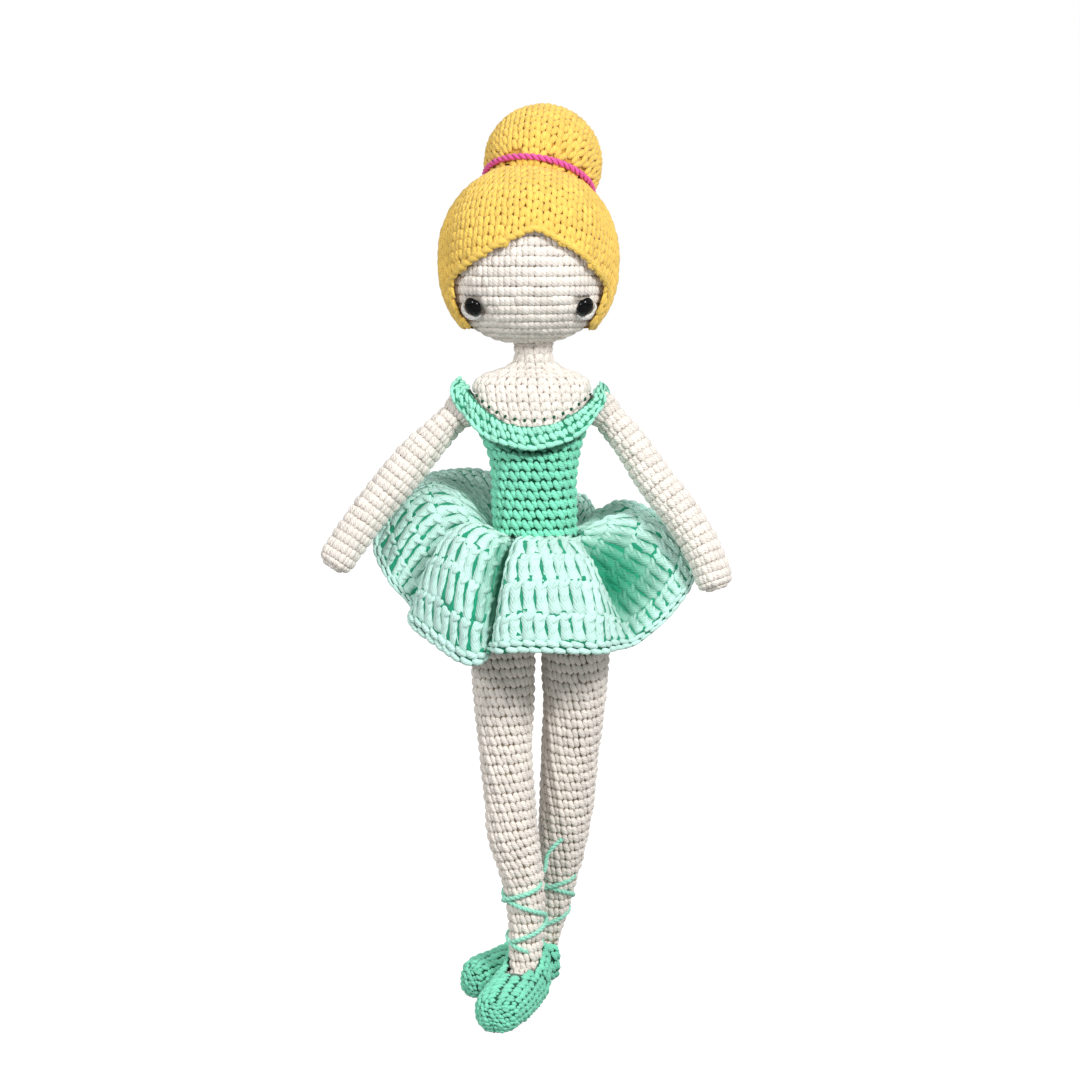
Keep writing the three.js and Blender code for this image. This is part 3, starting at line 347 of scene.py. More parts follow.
def row_places(place, pitch, start=0.0, stop=1.0):
    v = np.linspace(0, 1, DOWN_SAMPLES)
    u = np.linspace(0, 1, ROUND_PLACES, endpoint=False)
    points = place(*np.meshgrid(u, v, indexing="ij"))
    steps = np.linalg.norm(np.diff(points, axis=1), axis=-1).mean(0)
    length = np.concatenate([[0], np.cumsum(steps)])
    first, last = np.interp([start, stop], v, length)
    count = max(1, round((last - first) / pitch))
    edges = np.interp(np.linspace(first, last, count + 1), length, v)
    return (edges[:-1] + edges[1:]) / 2, np.diff(edges)


def round_table(place, v):
    u = np.linspace(0, 1, ROUND_SAMPLES)
    run = run_of(place(u, np.full_like(u, v)))
    return u, run / max(run[-1], 1e-9), run[-1]


def lay(place, shape, pitch, cell=(CELL_WIDE, CELL_HIGH), keep=None, start=0.0, stop=1.0, drift=0.3,
        lift=-1.0, seed=1, rows=None, least=3, limits=(-0.55, 0.75), shade=None, sway=0.03, size=1.0):
    chance = np.random.default_rng(seed)
    count = len(shape.vertices)
    local = np.empty(count * 3)
    shape.vertices.foreach_get("co", local)
    local = local.reshape(-1, 3) * size
    centres, heights = rows or row_places(place, pitch, start, stop)
    stacks, tones, depths = [], [], []
    for k, (v, high) in enumerate(zip(centres, heights)):
        u_table, share, around = round_table(place, v)
        stitches = max(least, round(around / cell[0]))
        at = np.arange(stitches) + drift * k + chance.normal(0, sway * 1.2, stitches)
        a = local[:, 0] / cell[0]
        turn = (at[:, None] + a[None, :]) / stitches
        whole = np.floor(turn)
        u = np.interp(turn - whole, share, u_table) + whole
        v_at = v - (local[:, 1] / cell[1] + chance.normal(0, sway, stitches)[:, None]) * high
        if keep is not None:
            middle = np.interp((at / stitches) % 1, share, u_table)
            chosen = keep(place(middle, np.full(stitches, v)))
            u, v_at, stitches = u[chosen], v_at[chosen], int(chosen.sum())
        if not stitches:
            continue
        v_at = np.clip(v_at, 0, 1)
        swell = chance.normal(1, SIZE_VARIES, stitches)[:, None]
        height = local[None, :, 2] * swell + lift
        skin = place(u, v_at)
        stacks.append(skin + normals(place, u, v_at) * height[..., None])
        low, high_at = limits
        # Painted shade: the low parts of each stitch get the deep colour, and a shade function can darken
        # whole stitches.
        seen = np.clip((local[:, 2] - low) / (high_at - low), 0, 1)
        depths.append(seen * (shade(u, v_at, skin) if shade else np.ones((stitches, 1))))
        tones.append(np.repeat(chance.uniform(0, 1, stitches)[:, None], count, 1))
    if not stacks:
        return None
    return dict(shape=shape, points=np.concatenate(stacks), depth=np.concatenate(depths),
                tone=np.concatenate(tones))


print("a row of", CELL_WIDE, "mm stitches,", CELL_HIGH, "mm high")

# %% [markdown]
# ## From stitches to a mesh
# All the stitches of one piece become one mesh. Its faces repeat the little stitch's own faces, and
# its UV map and its two attributes go with them. A base cloth comes first, which closes the holes
# between the stitches just as the inside of the real work does; it is painted in the deep colour,
# as painted shade in the holes. It is a copy of the solid's own skin, drawn in by almost a
# millimetre, or a thin closed cloth of its own in the frill, the skirt and the slippers. A stuffed
# piece joins the two, and a sheet keeps them apart.

# %% Build a piece from stitches and a base
SHRINK, MERGE = 0.9, 0.01


def write_marks(mesh, depth, tone):
    for label, values in (("depth", depth), ("tone", tone)):
        attribute = mesh.attributes.new(label, "FLOAT", "POINT")
        attribute.data.foreach_set("value", values.astype(np.float32))


def stitched_mesh(groups):
    coords, loops, starts, uvs, depth, tone = [], [], [], [], [], []
    offset = face_start = 0
    for group in filter(None, groups):
        shape = group["shape"]
        number, count = group["points"].shape[:2]
        corner = np.array([loop.vertex_index for loop in shape.loops])
        begin = np.array([face.loop_start for face in shape.polygons])
        uv = np.empty(len(shape.loops) * 2)
        shape.uv_layers["yarn"].uv.foreach_get("vector", uv)
        coords.append(group["points"].reshape(-1, 3) * MM)
        copies = np.arange(number)[:, None]
        loops.append((corner[None] + copies * count + offset).ravel())
        starts.append((begin[None] + copies * len(corner) + face_start).ravel())
        uvs.append(np.tile(uv, number))
        depth.append(group["depth"].ravel())
        tone.append(group["tone"].ravel())
        offset += number * count
        face_start += number * len(corner)
    coords, loops, starts = np.concatenate(coords), np.concatenate(loops), np.concatenate(starts)
    mesh = bpy.data.meshes.new("stitches")
    mesh.vertices.add(len(coords))
    mesh.vertices.foreach_set("co", coords.ravel())
    mesh.loops.add(len(loops))
    mesh.loops.foreach_set("vertex_index", loops.astype(np.int32))
    mesh.polygons.add(len(starts))
    mesh.polygons.foreach_set("loop_start", starts.astype(np.int32))
    mesh.update(calc_edges=True)
    mesh.uv_layers.new(name="yarn").uv.foreach_set("vector", np.concatenate(uvs))
    write_marks(mesh, np.concatenate(depth), np.concatenate(tone))
    mesh.validate()
    return mesh


def mark(bm, depths, tone=0.5):
    """The same two attributes, for a mesh that is still being shaped."""
    depth_layer, tone_layer = (bm.verts.layers.float.new(label) for label in ("depth", "tone"))
    for vertex, depth in zip(bm.verts, np.broadcast_to(depths, len(bm.verts))):
        vertex[depth_layer], vertex[tone_layer] = depth, tone


def base_mesh(node, depth, reshape=None):
    bm = bmesh.new()
    bm.from_mesh(nodes[node].data)
    for layer in list(bm.loops.layers.uv):
        bm.loops.layers.uv.remove(layer)
    bmesh.ops.remove_doubles(bm, verts=bm.verts, dist=MERGE * MM)
    bm.normal_update()
    for vertex in bm.verts:
        vertex.co -= vertex.normal * SHRINK * MM
        if reshape:
            vertex.co = Vector(reshape(np.array(vertex.co) / MM)) * MM
    bm.loops.layers.uv.new("yarn")
    # Painted shade: depth sets how much of the deep colour the base shows in the holes.
    mark(bm, depth)
    return mesh_of(bm)


def closed_up(bm):
    bmesh.ops.remove_doubles(bm, verts=bm.verts, dist=MERGE * MM)
    bmesh.ops.recalc_face_normals(bm, faces=bm.faces)
    bm.loops.layers.uv.new("yarn")
    return mesh_of(bm)


def two_sided(sheet, layer, columns, rows, depth, shade=None):
    """A closed cloth between two layers of a surface sheet(u, v, layer), which runs full circle."""
    bm = bmesh.new()
    lines = 2 * rows + 2
    bmesh.ops.create_grid(bm, x_segments=columns, y_segments=lines, size=1.0)
    across, up = np.array([v.co[:2] for v in bm.verts]).T
    u = (across - across.min()) / np.ptp(across)
    step = np.rint((up - up.min()) / np.ptp(up) * lines).astype(int) % lines
    outer = step <= rows
    v = np.where(outer, step, lines - 1 - step) / rows
    points = np.where(outer[:, None], sheet(u, v, layer), sheet(u, v, -layer)) * MM
    for vertex, point in zip(bm.verts, points):
        vertex.co = point
    # Painted shade: the cloth takes the deep colour by its depth, and with a shade function its inner layer
    # keeps only 0.3 of it.
    mark(bm, depth * (np.where(outer, shade(u, v, points), 0.3) if shade else 1.0))
    return closed_up(bm)


def joined(parts):
    bm = bmesh.new()
    for part in parts:
        bm.from_mesh(part)
        bpy.data.meshes.remove(part)
    return mesh_of(bm)


def show(mesh, name, material):
    mesh.name = name
    piece = bpy.data.objects.new(name, mesh)
    bpy.context.scene.collection.objects.link(piece)
    mesh.materials.clear()
    mesh.materials.append(material)
    mesh.polygons.foreach_set("use_smooth", np.ones(len(mesh.polygons), bool))
    mesh.update()
    return piece


def add_piece(mesh, name, material, body, slot, *replaced):
    """Shows a piece, and says which body it rides on and which of the solid model's nodes it replaces."""
    piece = show(mesh, name, material)
    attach(piece, body)
    if replaced:
        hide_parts(*replaced)
    print(name, len(mesh.loops) - 2 * len(mesh.polygons), "triangles")
    return piece


def stuffed_piece(name, groups, base, material, body, slot, replaced):
    piece = add_piece(joined([base, stitched_mesh(groups)]), name, material, body, slot, *replaced)


def cloth_piece(name, groups, base, material, body, slot, replaced):
    cloth = add_piece(base, name, material, body, slot, replaced)
    stitches = add_piece(stitched_mesh(groups), name + "_stitches", material, body, slot)


print("base cloth is drawn in by", SHRINK, "mm")

# %% [markdown]
# ## The head
# The head is a ball that is a little flatter under the chin, worked from the crown down and stuffed
# hard. Its surface is an oval turned round an upright axis. The stitches that the hair hides are
# left out.

# %% The head's surface
CHIN_SQUARE, CROWN_SQUARE, HAIR_BOTTOM = 2.35, 2.05, -0.83
NECK_X, NECK_CLEAR = -0.026 * TORSO_HALF, 6.5
HEAD = SHIFT + [-0.079 * HEAD_RADIUS, 0, TORSO_BOTTOM + TORSO_HEIGHT + CLEAR + HEAD_HALF]
EYE_DOWN, EYE_ASIDE = 0.552, {"right": -0.637, "left": 0.655}
HAIRLINE = np.array([
    [0.09, 0.362], [-0.2, 0.24], [-0.447, 0.104], [-0.7, -0.06], [-0.88, -0.22], [-0.9, -0.4],
    [-0.83, -0.6], [-0.7, -0.84], [-0.7, -1.2], [0.72, -1.2], [0.74, -0.84], [0.86, -0.6],
    [0.92, -0.42], [0.89, -0.28], [0.7, -0.02], [0.488, 0.14], [0.28, 0.25],
])


def head_at(u, v):
    angle = (0.5 - v) * math.pi
    square = np.where(angle < 0, CHIN_SQUARE, CROWN_SQUARE)
    radius = HEAD_RADIUS * np.abs(np.cos(angle)) ** (2 / square)
    height = HEAD_HALF * np.sign(angle) * np.abs(np.sin(angle)) ** (2 / square)
    turn = 2 * math.pi * u
    return np.stack([radius * np.sin(turn), -radius * np.cos(turn), height], -1) + HEAD


def in_face(points, margin=0.0):
    x, z = ((points - HEAD) / HEAD_RADIUS)[..., [0, 2]].T
    inside = np.zeros(len(x), bool)
    middle = HAIRLINE.mean(0)
    edge = middle + (HAIRLINE - middle) * (1 + margin)
    for (x0, z0), (x1, z1) in zip(edge, np.roll(edge, -1, 0)):
        crosses = (z0 > z) != (z1 > z)
        inside ^= crosses & (x < (x1 - x0) * (z - z0) / ((z1 - z0) or 1e-9) + x0)
    return inside & (points[:, 1] < HEAD[1])


def below_hair(points, extra=0.0):
    return points[:, 2] - HEAD[2] < HAIR_BOTTOM * HEAD_HALF + extra


def head_radius(height, grow=0.0):
    square = CHIN_SQUARE if height < 0 else CROWN_SQUARE
    share = min(abs(height) / (HEAD_HALF + grow), 1)
    return (HEAD_RADIUS + grow) * (1 - share**square) ** (1 / square)


def eye_place(side):
    height, aside = -EYE_DOWN * HEAD_RADIUS, EYE_ASIDE[side] * HEAD_RADIUS
    centre = np.array([aside, -math.sqrt(head_radius(height)**2 - aside**2), height])
    slope = (head_radius(height + CLEAR) - head_radius(height - CLEAR)) / (2 * CLEAR)
    axis = np.array([centre[0], centre[1], 0]) / math.hypot(centre[0], centre[1])
    return centre + HEAD, unit(axis - [0, 0, slope])


print("eyes at", [np.round(eye_place(side)[0], 2).tolist() for side in SIDES])


# %% Stitch the head
def on_face(points):
    clear = np.hypot(*(points - HEAD)[:, :2].T) > NECK_CLEAR
    for side in SIDES:
        clear &= np.linalg.norm(points - eye_place(side)[0], axis=-1) > EYE_RADIUS * 1.12
    return clear & (in_face(points, 0.05) | below_hair(points, 1.5))


stuffed_piece("head", [lay(head_at, ribbed, CELL_HIGH, keep=on_face, drift=0.5, seed=3)],
              base_mesh("head_shell", depth=0.45), cream_cotton, "head", "cream_yarn",
              ["head_shell", "head_stuffing"])

# %% [markdown]
# ## The hair cap
# The hair is a second, thicker skin of golden yarn. Its stitches run down from the bun like combed
# hair, in neat V columns, and a border row is worked along the forehead. To make the columns meet
# under the bun, the cap's surface is read round the bun's direction instead of round the crown.

# %% The cap's surface
BUN_PLACE = np.array([0.174, 0.475, 1.125]) * HEAD_RADIUS
BUN = HEAD + BUN_PLACE
BUN_WAY = unit(BUN_PLACE)
BUN_FRONT = unit(BUN_WAY * BUN_WAY[1] - [0, 1, 0])
BUN_RIGHT = np.cross(BUN_WAY, BUN_FRONT)
CAP_GROW = CLEAR + HAIR_THICK


def cap_shares(way):
    """How far out and how high a place lies, as shares of the cap's own radius and half height."""
    flat = np.hypot(way[..., 0], way[..., 1]) / (HEAD_RADIUS + CAP_GROW)
    return flat, np.abs(way[..., 2]) / (HEAD_HALF + CAP_GROW)


def cap_at(u, v):
    turn, lean = 2 * math.pi * u, math.pi * v
    way = (np.cos(lean)[..., None] * BUN_WAY + (np.sin(lean) * np.cos(turn))[..., None] * BUN_FRONT
           + (np.sin(lean) * np.sin(turn))[..., None] * BUN_RIGHT)
    square = np.where(way[..., 2] < 0, CHIN_SQUARE, CROWN_SQUARE)
    flat, high = cap_shares(way)
    reach = (flat**square + high**square) ** (-1 / square)
    return way * reach[..., None] + HEAD


def on_cap(points):
    off_bun = np.linalg.norm(points - BUN, axis=-1) > BUN_RADIUS - 6
    return off_bun & ~in_face(points, 0.02) & ~below_hair(points, 1.0)


print("the cap's front row meets the bun at", np.round(cap_at(np.array(0.0), np.array(0.2)), 1))

# %% Stitch the cap, and the border along the forehead
def border_row(edge, out, shape, size, step, lift, depth=1.0, seed=5):
    """One stitch laid again and again along a line, facing out."""
    local = np.array([v.co for v in shape.vertices])
    run = run_of(edge)
    count = int(run[-1] / step)
    at = (np.arange(count) + 0.5) * step
    reach = np.clip(at[:, None] + local[None, :, 0] * size, 0, run[-1])
    up = points_at(reach, unit(out), run)
    ahead = points_at(reach + 0.3, edge, run) - points_at(reach - 0.3, edge, run)
    side = unit(np.cross(up, ahead))
    points = (points_at(reach, edge, run) + side * (local[None, :, 1] * size)[..., None]
              + up * (local[None, :, 2] * size + lift)[..., None])
    # Painted shade: the low parts of each stitch get the deep colour.
    seen = np.broadcast_to(np.clip((local[:, 2] + 0.6) / 1.4, 0, 1) * depth, points.shape[:2])
    tone = np.repeat(np.random.default_rng(seed).uniform(0, 1, count)[:, None], len(local), 1)
    return dict(shape=shape, points=points, depth=seen, tone=tone)


def rounded_off(line, passes=12):
    """The same line with its corners rounded off and its ends kept."""
    line = np.array(line, float)
    for _ in range(passes):
        line[1:-1] = (line[:-2] + line[1:-1] * 2 + line[2:]) / 4
    return line


def on_front(x, z, grow):
    radius = head_radius(z * HEAD_RADIUS, grow)
    x = np.clip(x * HEAD_RADIUS, -radius * 0.999, radius * 0.999)
    return HEAD + [x, -math.sqrt(radius**2 - x**2), z * HEAD_RADIUS]


FACE_MIDDLE, BORDER_OUT = np.array([0.02, -0.3]), 1.04
visible_edge = np.roll(HAIRLINE, -9, 0)
finer = np.concatenate([np.linspace(start, end, 8, endpoint=False)
                        for start, end in zip(visible_edge[:-1], visible_edge[1:])])
smooth = rounded_off(finer[finer[:, 1] > HAIR_BOTTOM])
smooth = (smooth - FACE_MIDDLE) * BORDER_OUT + FACE_MIDDLE
forehead = np.array([on_front(x, z, CAP_GROW - 0.5) for x, z in smooth])

hair_stitches = [
    lay(cap_at, vee, CELL_HIGH * 1.05, keep=on_cap, drift=0.06, seed=7, start=0.05, stop=0.97),
    border_row(forehead, forehead - HEAD, chain, 1.1, 3.6, -0.4),
]
cloth_piece("hair_cap_cloth", hair_stitches, base_mesh("hair_cap", depth=0.35), gold_cotton, "head",
            "golden_yarn", "hair_cap")

# %% [markdown]
# ## The bun and its tie
# The bun is a stuffed ball sewn on the crown. A magenta strand is wound round its foot: two plies
# twisted together, which is drawn as two thin tubes that wind round one line.

# %% Stitch the bun
TIE_AXIS = unit(np.array([0.2, 0.55, 1.0]))
TIE_DROP, TIE_REACH = 10, BUN_RADIUS + 0.3
TIE_ROUND = math.sqrt(TIE_REACH**2 - TIE_DROP**2)


BUN_TILT = np.array(Matrix.Rotation(math.radians(-62), 3, "X") @ Matrix.Rotation(math.radians(14), 3, "Y"))


def bun_at(u, v):
    turn, lean = 2 * math.pi * u, math.pi * v
    way = np.stack([np.sin(lean) * np.sin(turn), -np.sin(lean) * np.cos(turn), np.cos(lean)], -1)
    return way @ BUN_TILT.T * BUN_RADIUS + BUN


def off_head(points):
    flat, high = cap_shares(points - HEAD)
    pressed = np.abs((points - BUN) @ TIE_AXIS + TIE_DROP) < 1.3
    return (flat**CROWN_SQUARE + high**CROWN_SQUARE > 0.9) & ~pressed


stuffed_piece("bun", [lay(bun_at, vee, CELL_HIGH * 1.02, keep=off_head, drift=0.12, seed=9, start=0.02,
                          stop=0.98)],
              base_mesh("bun_shell", depth=0.35), gold_cotton, "head", "golden_yarn",
              ["bun_shell", "bun_stuffing"])


# %% A twisted strand along a line
PLIES = 2


def twisted(line, strand, offset, pitch, closed=False):
    """Tubes of radius strand that wind round a line, at the distance offset, once every pitch."""
    ahead = unit(np.roll(line, -1, 0) - np.roll(line, 1, 0) if closed else np.gradient(line, axis=0))
    side, sides = np.cross(ahead[0], [0.3, 0.5, 0.8]), []
    for way in ahead:
        side = unit(side - way * (side @ way))
        sides.append(side)
    sides = np.array(sides)
    third = np.cross(ahead, sides)
    run = run_of(line)
    whole = run[-1] + (np.linalg.norm(line[0] - line[-1]) if closed else 0)
    turns = max(1, round(whole / pitch))
    curve = bpy.data.curves.new("strand", "CURVE")
    curve.dimensions = "3D"
    curve.bevel_depth = strand * MM
    curve.bevel_resolution = 1
    curve.resolution_u = 1
    curve.use_fill_caps = True
    for ply in range(PLIES):
        angle = 2 * math.pi * (run / whole * turns + ply / PLIES)
        points = line + (sides * np.cos(angle)[:, None] + third * np.sin(angle)[:, None]) * offset
        spline = curve.splines.new("POLY")
        spline.points.add(len(points) - 1)
        spline.points.foreach_set("co", np.c_[points * MM, np.ones(len(points))].ravel())
        spline.use_cyclic_u = closed
    holder = bpy.data.objects.new("strand", curve)
    bpy.context.scene.collection.objects.link(holder)
    bpy.context.view_layer.update()
    mesh = bpy.data.meshes.new_from_object(holder)
    bpy.data.objects.remove(holder)
    bpy.data.curves.remove(curve)
    # Painted shade: the plies get the deep colour where they lie close to the line, in between each other.
    nearest = np.array([np.linalg.norm(line - np.array(v.co) / MM, axis=-1).min() for v in mesh.vertices])
    write_marks(mesh, np.clip(nearest / (strand + offset) * 1.25 - 0.3, 0, 1), np.full(len(nearest), 0.6))
    while mesh.uv_layers:
        mesh.uv_layers.remove(mesh.uv_layers[0])
    mesh.uv_layers.new(name="yarn")
    return mesh


def hoop(centre, axis, radius, count, aside):
    """A circle of points square to an axis; its first point stands square to the way aside."""
    one = unit(np.cross(axis, aside))
    two = np.cross(axis, one)
    turn = np.linspace(0, 2 * math.pi, count, endpoint=False)[:, None]
    return centre + (one * np.cos(turn) + two * np.sin(turn)) * radius


tie_line = hoop(BUN - TIE_AXIS * TIE_DROP, TIE_AXIS, TIE_ROUND, 260, [0, 1, 0])
add_piece(twisted(tie_line, 0.78, 0.62, 5.2, closed=True), "bun_tie", magenta_cotton, "head", "magenta_yarn",
          "hair_tie")

# %% [markdown]
# ## Safety eyes
# Each eye is a glossy black acrylic dome on a ribbed stem that goes through the head and locks in a
# washer inside. A crescent of white yarn is sewn round its outer lower edge. The dome is half an
# outline spun round the eye's axis. Acrylic bends light by 1.49; its shine is set to half the usual,
# because the white room would make the black look grey.

# %% Black acrylic
ACRYLIC_IOR = 1.49


def black_acrylic():
    material = blank_material("black_acrylic")
    place = add_node(material, "ShaderNodeTexCoord")
    wear = add_node(material, "ShaderNodeTexNoise", {"Scale": 1 / (1.2 * MM), "Detail": 4.0},
                    {"Vector": place.outputs["Object"]})
    rough = add_node(material, "ShaderNodeMapRange", {"To Min": 0.02, "To Max": 0.06},
                     {"Value": wear.outputs["Fac"]})
    colour = add_node(material, "ShaderNodeMix",
                      {"data_type": "RGBA", 6: linear("#020203"), 7: linear("#060608")},
                      {0: wear.outputs["Fac"]})
    shader = add_node(material, "ShaderNodeBsdfPrincipled",
                      {"IOR": ACRYLIC_IOR, "Specular IOR Level": 0.25},
                      {"Base Color": colour.outputs[2], "Roughness": rough.outputs["Result"]})
    add_node(material, "ShaderNodeOutputMaterial", {}, {"Surface": shader.outputs[0]})
    return material


acrylic = black_acrylic()
print("made", acrylic.name)


# %% Spin the eyes
STEM, STEM_END, STEM_WAIST, WASHER_THICK = 1.3, 1.1, 1.15, 1.1
RIBS, RIB_STEP, RIB_HIGH = 4, 0.9, 0.5


def spun(outline, axis, centre):
    bm = bmesh.new()
    rim = [bm.verts.new((radius * MM, 0, height * MM)) for radius, height in outline]
    edges = [bm.edges.new(pair) for pair in zip(rim[:-1], rim[1:])]
    bmesh.ops.spin(bm, geom=rim + edges, axis=(0, 0, 1), cent=(0, 0, 0), angle=2 * math.pi, steps=32,
                   use_merge=True)
    bmesh.ops.remove_doubles(bm, verts=bm.verts, dist=0.001 * MM)
    bmesh.ops.recalc_face_normals(bm, faces=bm.faces)
    turn = Vector((0, 0, 1)).rotation_difference(Vector(axis)).to_matrix().to_4x4()
    bmesh.ops.transform(bm, matrix=Matrix.Translation(Vector(centre) * MM) @ turn, verts=bm.verts)
    return mesh_of(bm)


for side in SIDES:
    centre, axis = eye_place(side)
    end = -(WALL + WASHER_THICK + 5 * CLEAR)
    outline = [(0, end), (STEM_END, end), (STEM, end + 0.3)]
    for rib in range(RIBS):
        z = end + 0.8 + rib * RIB_STEP
        outline += [(STEM, z), (STEM_WAIST, z + RIB_HIGH / 2), (STEM, z + RIB_HIGH)]
    outline += [(STEM, CLEAR), (EYE_RADIUS * 0.94, CLEAR), (EYE_RADIUS, CLEAR + 0.15)]
    outline += [(EYE_RADIUS * math.cos(a), 2 * CLEAR + (EYE_HEIGHT - 2 * CLEAR) * math.sin(a))
                for a in np.linspace(0, math.pi / 2, 13)[:-1]] + [(0, EYE_HEIGHT)]
    add_piece(spun(outline, axis, centre), "eye_" + side + "_dome", acrylic, "head", "black_eye",
              "eye_" + side)


# %% Sew the white crescents
CRESCENT_FROM, CRESCENT_TO = 18, -128


def crescent(side):
    centre = eye_place(side)[0] - HEAD
    bm = bmesh.new()
    uv = bm.loops.layers.uv.new("yarn")
    bmesh.ops.create_uvsphere(bm, u_segments=12, v_segments=28, radius=1.0, calc_uvs=True)
    for vertex in bm.verts:
        share = (1 - vertex.co.z) / 2
        around = max(math.sqrt(max(1 - vertex.co.z**2, 0)), 1e-6)
        full = min(1, around * 2) / around
        angle = math.radians(CRESCENT_FROM + (CRESCENT_TO - CRESCENT_FROM) * share)
        wide = EYE_RADIUS * (0.12 + 0.4 * math.sin(math.pi * share))
        radius = EYE_RADIUS * 1.04 + wide / 2 * (1 + vertex.co.x * full)
        across = centre[0] + SIDES[side] * radius * math.cos(angle)
        up = centre[2] + radius * math.sin(angle)
        reach = head_radius(up) + CLEAR + 0.75 + vertex.co.y * full * 0.6
        turn = math.asin(max(-1, min(1, across / reach)))
        vertex.co = Vector(HEAD + [reach * math.sin(turn), -reach * math.cos(turn), up]) * MM
    mark(bm, 1.0, tone=0.7)
    for face in bm.faces:
        for loop in face.loops:
            loop[uv].uv = (loop[uv].uv.y * 10, loop[uv].uv.x * 4)
    bmesh.ops.recalc_face_normals(bm, faces=bm.faces)
    return mesh_of(bm)


for side in SIDES:
    add_piece(crescent(side), "eye_white_" + side + "_yarn", white_cotton, "head", "white_yarn",
              "eye_white_" + side)

# %% [markdown]
# ## The body
# The body is a flattened tube with rounded corners: wide hips under the skirt, a narrow waist,
# shoulders, and a thin neck that a hidden dowel keeps upright. Its rows lie level. The stitches
# that the dress hides are left out, and the chest shows fine V columns.

# %% The body's surface
TORSO_ROWS = [
    [0, 0.86, 0.74, 0.08], [0.025, 0.95, 0.9, 0.076], [0.06, 0.97, 0.98, 0.066],
    [0.154, 0.74, 0.9, 0.03], [0.24, 0.585, 0.84, 0], [0.339, 0.575, 0.82, -0.01],
    [0.443, 0.575, 0.82, -0.018], [0.548, 0.62, 0.85, -0.02], [0.629, 0.73, 0.875, -0.04],
    [0.698, 0.865, 0.875, -0.05], [0.768, 0.935, 0.815, -0.055], [0.82, 0.94, 0.73, -0.055],
    [0.855, 0.9, 0.63, -0.055], [0.884, 0.73, 0.56, -0.047], [0.907, 0.47, 0.5, -0.035],
    [0.936, 0.32, 0.49, -0.026], [1, 0.298, 0.475, -0.026],
]


def power(value, square):
    return np.sign(value) * np.abs(value) ** (2 / square)


def torso_at(u, v, grow=0.0):
    share = 1 - v
    wide, deep, aside = read(TORSO_ROWS, share)
    turn = 2 * math.pi * u
    lift = np.where(share > 0.65, grow * np.minimum((share - 0.65) / 0.35 * 2, 1), 0)
    sink = np.where(share < 0.04, grow * (1 - share / 0.04), 0)
    x = aside * TORSO_HALF + (wide * TORSO_HALF + grow) * power(np.sin(turn), TORSO_SQUARE)
    y = -(deep * TORSO_DEEP + grow) * power(np.cos(turn), TORSO_SQUARE)
    z = TORSO_BOTTOM + share * TORSO_HEIGHT + lift - sink
    return np.stack([x, y, z], -1) + SHIFT


SHOULDER_X = read(TORSO_ROWS, (SHOULDER_HEIGHT - TORSO_BOTTOM) / TORSO_HEIGHT)[2] * TORSO_HALF
SHOULDERS = {side: np.array([SHOULDER_X + sign * SHOULDER_SPREAD, 0, SHOULDER_HEIGHT])
             for side, sign in SIDES.items()}


NECKLINE_SHARE, NECKLINE_ASIDE, NECKLINE_LEFT, NECKLINE_SQUARE = 0.681, -0.1, 0.72, 2.2


def neckline_height(x):
    aside = (x - SHIFT[0]) / TORSO_HALF - NECKLINE_ASIDE
    dip = NECK_DIP * np.where(aside > 0, NECKLINE_LEFT, 1)
    return TORSO_BOTTOM + NECKLINE_SHARE * TORSO_HEIGHT + dip * np.abs(aside)**NECKLINE_SQUARE


def off_shoulders(points, room=0.6):
    clear = np.ones(len(points), bool)
    for side in SIDES:
        reach = np.linalg.norm(points - SHOULDERS[side] - SHIFT, axis=-1)
        clear &= reach > SHOULDER_BALL + room
    return clear


def bare_chest(points):
    return (points[:, 2] > neckline_height(points[:, 0]) - 1.5) & off_shoulders(points)


def hips_only(points):
    return points[:, 2] < WAIST - 3


print("shoulders at", {side: np.round(p + SHIFT, 2).tolist() for side, p in SHOULDERS.items()})

# %% Stitch the body
def neck_ring(height, grow):
    turn = np.linspace(math.pi, 3 * math.pi, 90)
    rim = torso_at(turn / (2 * math.pi), 0 * turn)
    axis = np.array([NECK_X, 0, 0]) + SHIFT
    out = unit((rim - axis) * [1, 1, 0])
    return rim + out * grow + np.array([0, 0, height]), out


LOWERED_BY, LOWERED_FROM, LOWERED_TO = 1.2, 250, 272


def below_stitches(point):
    """The base is lowered over the shoulders, where its flat faces would cut through the stitches."""
    height = point[2]
    share = np.clip((height - LOWERED_FROM) / 6, 0, 1) * np.clip((LOWERED_TO - height) / 4, 0, 1)
    return point - [0, 0, LOWERED_BY * share]


body_laid = [
    lay(torso_at, vee, CELL_HIGH * 0.9, cell=(CELL_WIDE * 0.9, CELL_HIGH), keep=bare_chest, drift=0.1,
        seed=11, start=0.0, stop=0.5, least=8, limits=(-1.0, 0.35)),
    lay(torso_at, slanted, CELL_HIGH, keep=hips_only, seed=12, start=0.75, stop=0.99),
    border_row(*neck_ring(0.7, -0.4), chain, 0.9, 4.0, -0.3, seed=10),
]
stuffed_piece("body", body_laid, base_mesh("torso_shell", depth=0.7, reshape=below_stitches), cream_cotton,
              "torso", "cream_yarn", ["torso_shell", "torso_stuffing"])


# %% [markdown]
# ## The bodice and its frill
# The bodice is worked in single crochet round the body, level row on level row, and shows the
# strongest stitches of the whole doll: bright slanting legs with a dark triangle beside each, which
# is painted shade in the deep colour of the base. The neckline ends in a turned-down frill, single
# crochet again with an edge of chain stitches, whose corners stand out at the shoulders.

# %% Stitch the bodice
def bodice_at(u, v):
    return torso_at(u, v, CLEAR + WALL)


def in_bodice(points):
    return ((points[:, 2] < neckline_height(points[:, 0]) - 1.2) & (points[:, 2] > WAIST - 1)
            & off_shoulders(points, 2.5))


